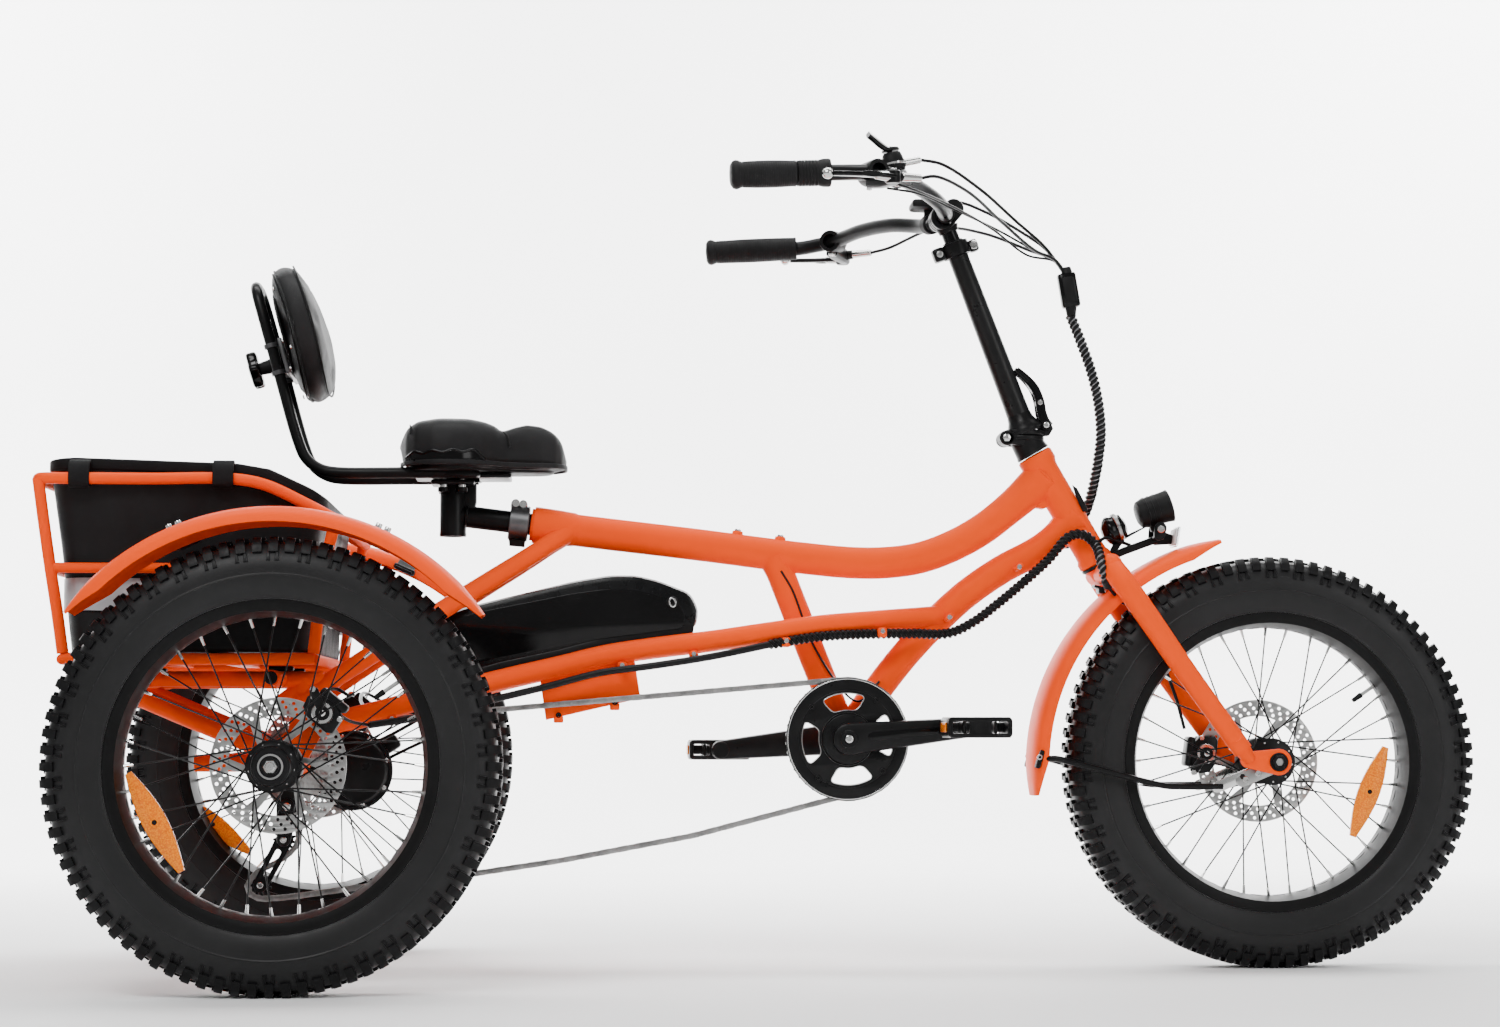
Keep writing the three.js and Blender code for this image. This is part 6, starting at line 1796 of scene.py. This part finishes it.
def saddle():
    mesh = soft_pad("saddle_cover", saddle_point, 34, 128)
    made = piece("saddle_cover", "seat", None, ["saddle"], mesh=mesh)
    inflate(made)
    seam = [saddle_surface(-404 + 22 * across ** 2, across, 1, 2.6) for across in np.linspace(-0.985,
                                                                                              0.985, 41)]
    trims = [(ridge(smooth_path(seam, 4), 1.6, False), LEATHER)]
    seam_back = [saddle_surface(-526 + 3 * across ** 2, across, 1, 2.2) for across in np.linspace(-0.93,
                                                                                                  0.93, 25)]
    trims.append((ridge(smooth_path(seam_back, 4), 1.1, False), LEATHER))
    xs = np.linspace(-537, -303, 60)
    loop = [(x, side * (seat_half_width(x) * 1.0 + 1.2), 719.5) for side,
            row in ((1, xs), (-1, xs[::-1])) for x in row]
    trims.append((sweep(smooth_path(loop, 8, closed=True), rounded(3.4, 1.6, 1.2), ref=Z, closed=True),
                  LEATHER))
    for side in (1, -1):
        wave = [(-528, 727), (-515, 734), (-503, 731), (-490, 735), (-476, 732), (-462, 736), (-448, 733),
                (-434, 737),
                (-424, 730), (-418, 724)]
        path = smooth_path([(x, side * (seat_half_width(x) + 1.0), z) for x, z in wave], 4)
        trims.append((ridge(path, 2.3, False), GLOSS))
        skirt = [(x, side * (seat_half_width(x) + 0.2), (z + 720) / 2) for x, z in wave]
        heights = [max(1.5, (z - 720) / 2) / 6 for _, z in wave]
        skirt_path = smooth_path(skirt, 1e9)
        trims.append((sweep(skirt_path, rounded(6, 2.0, 1.5), [(h, 1) for h in heights], ref=Z), GLOSS))
    base = rounded_outline([(-528, -60), (-500, -92), (-450, -92), (-400, -46), (-330, -34), (-316, 0),
                            (-330, 34), (-400, 46),
                            (-450, 92), (-500, 92), (-528, 60)], 26, 5)
    trims.append((slab([base], 9, basis((0, 0, 715.5), X, Y), 4), PLASTIC))
    piece("saddle_trim", "seat", trims)


PAD_CENTRE = on_back(150, 0, 46)


def pad_point(u, v, layer):
    """The backrest pad: u across, v up; its face is gently hollow across the rider's back."""
    radius = min(1.0, math.hypot(u, v))
    square = 1.0 + 0.05 * (1 - abs(abs(u) - abs(v)))
    crown = (1 - radius ** 15) ** 0.5
    depth = (23 if layer > 0 else -20) * crown
    ease = 5 * (1 - radius ** 2) if layer > 0 else 0
    p = (PAD_CENTRE + Y * (145 * u * square) + BACK_UP * (97 * v * square)
         + BACK_FORWARD * (depth + ease + 11 * u * u - 3))
    return tuple(p)


def backrest():
    mesh = soft_pad("backrest_cover", pad_point)
    made = piece("backrest_cover", "backrest", None, ["backrest_pad"], mesh=mesh)
    inflate(made)
    trims = []
    turns = np.linspace(0, 2 * math.pi, 96, False)
    around = [Y * math.cos(a) + BACK_UP * math.sin(a) for a in turns]
    for layer in (-1, 1):
        piping = [np.array(pad_point(0.965 * math.cos(a), 0.965 * math.sin(a), layer)) + 1.2 * out
                  for a, out in zip(turns, around)]
        trims.append((ridge(np.array(piping), 1.5), LEATHER))
    shell = [np.array(pad_point(0.93 * math.cos(a), 0.93 * math.sin(a), -1)) + 1.5 * out for a,
             out in zip(turns, around)]
    trims.append((ridge(np.array(shell), 1.2), PLASTIC))
    trims.append((slab([oval(0, 0, 112, 68, 0, 48)], 4, basis(PAD_CENTRE - BACK_FORWARD * 24, Y, BACK_UP),
                       1.8), PLASTIC))
    for angle in (40, 140, 200, 270, 340):
        a = math.radians(angle)
        place = np.array(pad_point(0.9 * math.cos(a), 0.9 * math.sin(a), -1)) - BACK_FORWARD * 3
        trims.append((bolt(place, -BACK_FORWARD, 3, 2), SILVER))
    piece("backrest_trim", "backrest", trims)


def backrest_hardware():
    side = [(-430, -60, 708.5), (-520, -60, 708.5), (-630, -60, 708.5), (-648, -60, 711.8),
            (-662.5, -60, 719.5),
            (-673.5, -60, 731), tuple(on_back(0, -60)),
            tuple(on_back(100, -60)), tuple(on_back(186, -60)), tuple(on_back(216, -52)),
            tuple(on_back(228, -34)),
            tuple(on_back(230, -10))]
    line = side + [(x, -y, z) for x, y, z in reversed(side)]
    parts = [(pipe(line, 8, 24, 6, ref=vec(0.3, 0.9, 0.2)), BLACK)]
    parts.append((block((138, 90, 6.5), basis((-450, 0, 706.5), X, Y), 2), BLACK))
    parts.append((block((52, 136, 6.5), basis((-451, 0, 706.5), X, Y), 2), BLACK))
    piece("backrest_tube", "seat", parts, ["backrest_frame"])
    centre = on_back(118, 0, 14)
    parts = [
        (block((154, 52, 7), basis(centre, Y, BACK_UP), 2), ALLOY),
        (block((54, 40, 12), basis(on_back(118, 0, 8), Y, BACK_UP), 3), BLACK),
        (rod(on_back(118, 0, -8), on_back(118, 0, 12), 9, 9, 24), STEEL),
    ]
    for y in (-60, 60):
        for up in (-20, 20):
            clip = turned([(8.4, -3), (10.6, -3), (10.6, 3), (8.4, 3), (8.4, -3)],
                          on_back(118 + up, y, 0), BACK_UP, 28)
            parts.append((clip, ALLOY))
            parts.append((bolt(on_back(118 + up, y * 1.2, 17), BACK_FORWARD, 3.6, 2.0), SILVER))
    piece("backrest_slide_block", "backrest", parts, ["backrest_slider"])
    lobes = []
    for i in range(60):
        a = 2 * math.pi * i / 60
        radius = 26 + 2.6 * math.cos(6 * a)
        lobes.append((radius * math.cos(a), radius * math.sin(a)))
    place = basis(on_back(118, 0, -35), Y, BACK_UP)
    parts = [
        (slab([np.array(lobes)], 15, place, 3.5), GLOSS),
        (rod(on_back(118, 0, -43.5), on_back(118, 0, -42), 12, 10, 28, 0.6), PLASTIC),
        (rod(on_back(118, 0, -28), on_back(118, 0, -9), 9, 11, 24, 0.8), PLASTIC),
    ]
    piece("backrest_knob_lobed", "backrest_knob_body", parts, ["backrest_knob"])


# ---------------------------------------------------------------- basket



def basket_frame():
    loop = smooth_path([(-1000, -290, 680), (-860, -290, 680), (-748, -290, 680), (-706, -290, 672),
                        (-652, -290, 647),
                        (-622, -290, 631), (-610, -280, 625), (-609, -180, 625), (-609, 0, 625),
                        (-609, 180, 625),
                        (-610, 280, 625), (-622, 290, 631), (-652, 290, 647), (-706, 290, 672),
                        (-748, 290, 680),
                        (-860, 290, 680), (-1000, 290, 680), (-1008, 282, 680), (-1008, 150, 680),
                        (-1008, 0, 680),
                        (-1008, -150, 680), (-1008, -282, 680)], 7, closed=True)
    parts = [(sweep(loop, circle(8, 22), ref=Z, closed=True), ORANGE)]
    for y in (-290, 290):
        parts.append((pipe([(-1008, y, 680), (-999, y, 618), (-990, y, 560), (-980, y, 500),
                            (-972, y, 446)], 8, 20, 8), ORANGE))
        parts.append((pipe([(-612, y, 626), (-618, y, 600), (-627, y, 560), (-634, y, 500),
                            (-640, y, 446)], 8, 20, 8), ORANGE))
        parts.append((pipe([(-990, y, 560), (-800, y, 560), (-627, y, 560)], 7, 18, 10), ORANGE))
        parts.append((pipe([(-975, y, 439), (-800, y, 438), (-638, y, 439)], 8, 20, 10), ORANGE))
    for x, z in ((-990, 560), (-627, 560), (-973, 438), (-639, 438)):
        parts.append((rod((x, -290, z), (x, 290, z), 7.5, 7.5, 20), ORANGE))
    for x in (-880, -780):
        parts.append((sweep([(x, -288, 439), (x, 0, 439), (x, 288, 439)], rounded(14, 3, 2), ref=X),
                      ORANGE))
    for x, y in ((-900, -95), (-900, 95), (-700, -95), (-700, 95)):
        parts.append((block((34, 26, 7), basis((x, y, 429), X, Y), 2), BLACK))
        parts.append((bolt((x, y, 442), Z, 5, 3.4, True), SILVER))
    piece("basket_hoops", "frame", parts, ["basket_frame"])


def basket_section(t):
    """The liner's outline in plan, as a rounded rectangle; t runs from 0 to 1 round it."""
    outline = rounded(1.0, 1.0, 0.16, 8)
    closed = np.vstack([outline, outline[:1]])
    length = np.concatenate([[0], np.cumsum(np.linalg.norm(np.diff(closed, axis=0), axis=1))])
    s = t * length[-1]
    return np.array([np.interp(s, length, closed[:, 0]), np.interp(s, length, closed[:, 1])])


def liner_top(x):
    return float(np.interp(x, [-996, -960, -745, -704, -648, -630], [702, 704, 697, 690, 664, 653]))


LINER_CENTRE_X, LINER_FLOOR_Z, LINER_HALF_WIDTH = -806, 448, 277


def basket_liner():
    """An open bag of matt fabric that hangs inside the hoops: walls with slack folds, a floor, and a
    stitched rolled edge, on webbing straps."""
    columns, rows = 220, 34
    rng = np.random.default_rng(7)
    phase = rng.uniform(0, 6.28, (6,))
    wall = np.zeros((rows, columns, 3))
    edge_points = []
    for j in range(columns):
        u, v = basket_section(j / columns)
        floor_x = LINER_CENTRE_X + u * 160
        rim_x = -814 + u * 184
        rim_z = liner_top(rim_x)
        for i in range(rows):
            h = i / (rows - 1)
            x = floor_x + (rim_x - floor_x) * h
            y = v * (LINER_HALF_WIDTH - 3 * math.sin(math.pi * h))
            z = LINER_FLOOR_Z + (rim_z - LINER_FLOOR_Z) * h
            turn = 2 * math.pi * j / columns
            slack = math.sin(math.pi * h) * (1.6 * math.sin(9 * turn + phase[0] + 2 * h)
                                             + 1.1 * math.sin(17 * turn + phase[1] - 3 * h)
                                             + 0.8 * math.sin(31 * turn + phase[2] + 5 * h))
            bulge = -4.0 * math.sin(math.pi * h) ** 2
            outward = np.array([u * 0.8, v, 0])
            outward /= max(np.linalg.norm(outward), 1e-6)
            wall[i, j] = np.array([x, y, z]) + outward * (slack + bulge)
        edge_points.append(wall[-1, j].copy())
    points = wall.reshape(-1, 3)
    faces = grid_faces(rows, columns)
    sheet_mesh = bpy.data.meshes.new("basket_liner_walls")
    sheet_mesh.from_pydata((points * 0.001).tolist(), [], faces)
    sheet_mesh.materials.append(FABRIC)
    sheet_mesh.polygons.foreach_set("use_smooth", [True] * len(sheet_mesh.polygons))
    walls = piece("basket_liner_walls", "frame", None, ["basket_liner"], mesh=sheet_mesh)
    thicken = walls.modifiers.new("thickness", "SOLIDIFY")
    thicken.thickness = 0.0035
    thicken.offset = 0

    floor_points, floor_faces = [], []
    rings = 12
    for i in range(rings + 1):
        share = i / rings
        for j in range(columns):
            edge = wall[0, j]
            centre = np.array([LINER_CENTRE_X, 0, 453.0])
            p = centre + (edge - centre) * share
            ripple = 1.2 * math.sin(p[0] * 0.05 + phase[3]) * math.sin(p[1] * 0.03 + phase[4])
            p[2] = 450.5 + ripple * (1 - share ** 4)
            floor_points.append(p)
    for i in range(rings):
        for j in range(columns):
            k = (j + 1) % columns
            a, b = i * columns, (i + 1) * columns
            floor_faces.append([a + j, b + j, b + k, a + k])
    floor_mesh = build_mesh("basket_liner_floor", [((np.array(floor_points), floor_faces), FABRIC)])
    floor = piece("basket_liner_floor", "frame", None, mesh=floor_mesh)
    thicken = floor.modifiers.new("thickness", "SOLIDIFY")
    thicken.thickness = 0.003
    thicken.offset = 0
    edge_points = np.array(edge_points)
    hem = sweep(edge_points + Z * -3, rounded(8, 3.4, 3), ref=Z, closed=True)
    piece("basket_liner_hem", "frame", [(hem, WEBBING)])
    band_rows = [int(rows * 0.26), int(rows * 0.38)]
    low, high = wall[band_rows[0]], wall[band_rows[1]]
    band_path = (low + high) / 2
    outward = band_path - np.array([LINER_CENTRE_X, 0, 0])
    outward[:, 2] = 0
    outward /= np.linalg.norm(outward, axis=1)[:, None]
    band = sweep(band_path + outward * 6.5, rounded(22, 0.8, 0.6), ref=Z, closed=True)
    piece("basket_reflective_band", "frame", [(band, BAND)])
    straps = []
    places = [(x, side * 290) for side in (1, -1) for x in (-953, -762)]
    for x, y in places:
        side = 1 if y > 0 else -1
        loop = [(x, y + side * 10, 688), (x, y + side * 10, 674), (x, y + side * 4, 669),
                (x, y - side * 5, 670),
                (x, y - side * 10, 678), (x, y - side * 11.5, 692), (x, y - side * 6, 704),
                (x, y + side * 5, 699)]
        straps.append((sweep(smooth_path(loop, 3, closed=True), rounded(14, 1.3, 1), ref=X, closed=True),
                       WEBBING))
    piece("basket_straps", "frame", straps)


# ---------------------------------------------------------------- the whole tricycle


def build_tricycle():
    front_wheel()
    for side, name in ((-1, "right"), (1, "left")):
        rear_wheel(side, name)
        rear_fender(side, name)
        caliper(f"caliper_rear_{name}", "frame", f"rear_caliper_{name}", -622, 366, REAR_AXLE_X,
                side * 335, side)
    caliper("caliper_front", "steering", "front_caliper", 638, 308, FRONT_AXLE_X, 58, -1)
    for make in (wheel_reflectors, front_fender, head_tube, main_tube, down_and_seat_tubes, lower_rails,
                 rear_carrier, seat_clamp, fork, front_axle, lights, stem_base, handlepost, fold_lever,
                 handlebar,
                 bar_riser, grips, brake_controls, shifter_and_display, bar_cables, front_harness,
                 frame_loom,
                 battery, drive_unit, cassette, derailleur, chain, cranks, seat_post, saddle, backrest,
                 backrest_hardware, basket_frame, basket_liner):
        make()
    pedal(-1, "right", 94.5, 184.5)
    pedal(1, "left", 91.5, 181.5)


def camera():
    data = bpy.data.cameras.new("camera")
    data.lens = 73.0
    data.sensor_width = 36.0
    made = bpy.data.objects.new("camera", data)
    made.location = (-0.3094, -4.3974, 0.3559)
    made.rotation_euler = (math.radians(93.90), 0, math.radians(-3.56))
    bpy.context.scene.collection.objects.link(made)
    bpy.context.scene.camera = made


def area_light(name, place, aim, size, power):
    data = bpy.data.lights.new(name, "AREA")
    data.shape = "RECTANGLE"
    data.size, data.size_y = size
    data.energy = power
    made = bpy.data.objects.new(name, data)
    made.location = place
    made.rotation_euler = (Vector(aim) - Vector(place)).to_track_quat("-Z", "Y").to_euler()
    bpy.context.scene.collection.objects.link(made)


def studio():
    """A pale floor that curves up into a backdrop, four soft lights, and two on the backdrop."""
    material, nodes, links = new_material("studio_floor")
    shader = nodes["Principled BSDF"]
    soft = noise(nodes, links, 0.8, 2.0)
    links.new(ramp(nodes, links, soft, 0.86, 0.9), shader.inputs["Base Color"])
    shader.inputs["Roughness"].default_value = 0.7
    profile = [(-9, 0.0), (3.2, 0.0), (4.2, 0.12), (5.0, 0.6), (5.3, 1.4), (5.4, 6.0)]
    points = [(x, y, z) for y, z in profile for x in (-12, 12)]
    faces = [[2 * i, 2 * i + 1, 2 * i + 3, 2 * i + 2] for i in range(len(profile) - 1)]
    mesh = bpy.data.meshes.new("floor")
    mesh.from_pydata(points, [], faces)
    mesh.materials.append(material)
    mesh.polygons.foreach_set("use_smooth", [True] * len(mesh.polygons))
    floor = bpy.data.objects.new("floor", mesh)
    bpy.context.scene.collection.objects.link(floor)
    world = bpy.data.worlds.new("studio")
    world.use_nodes = True
    world.node_tree.nodes["Background"].inputs["Color"].default_value = (1, 1, 1, 1)
    world.node_tree.nodes["Background"].inputs["Strength"].default_value = 0.45
    bpy.context.scene.world = world
    area_light("key", (-1.6, -3.4, 3.6), (0, 0, 0.4), (2.6, 1.2), 150)
    area_light("fill", (2.8, -3.2, 1.8), (0.3, 0, 0.5), (1.2, 2.4), 46)
    area_light("top", (0, 0.4, 3.9), (0, 0, 0.3), (4.5, 1.0), 150)
    area_light("back", (0.5, 3.0, 2.4), (0, 0, 0.7), (4.0, 1.0), 40)
    area_light("backdrop_left", (-3.0, 2.6, 3.4), (-2.0, 5.6, 1.6), (3.0, 1.2), 700)
    area_light("backdrop_right", (3.0, 2.6, 3.4), (2.0, 5.6, 1.6), (3.0, 1.2), 700)


build_tricycle()
camera()
studio()
bpy.context.view_layer.update()
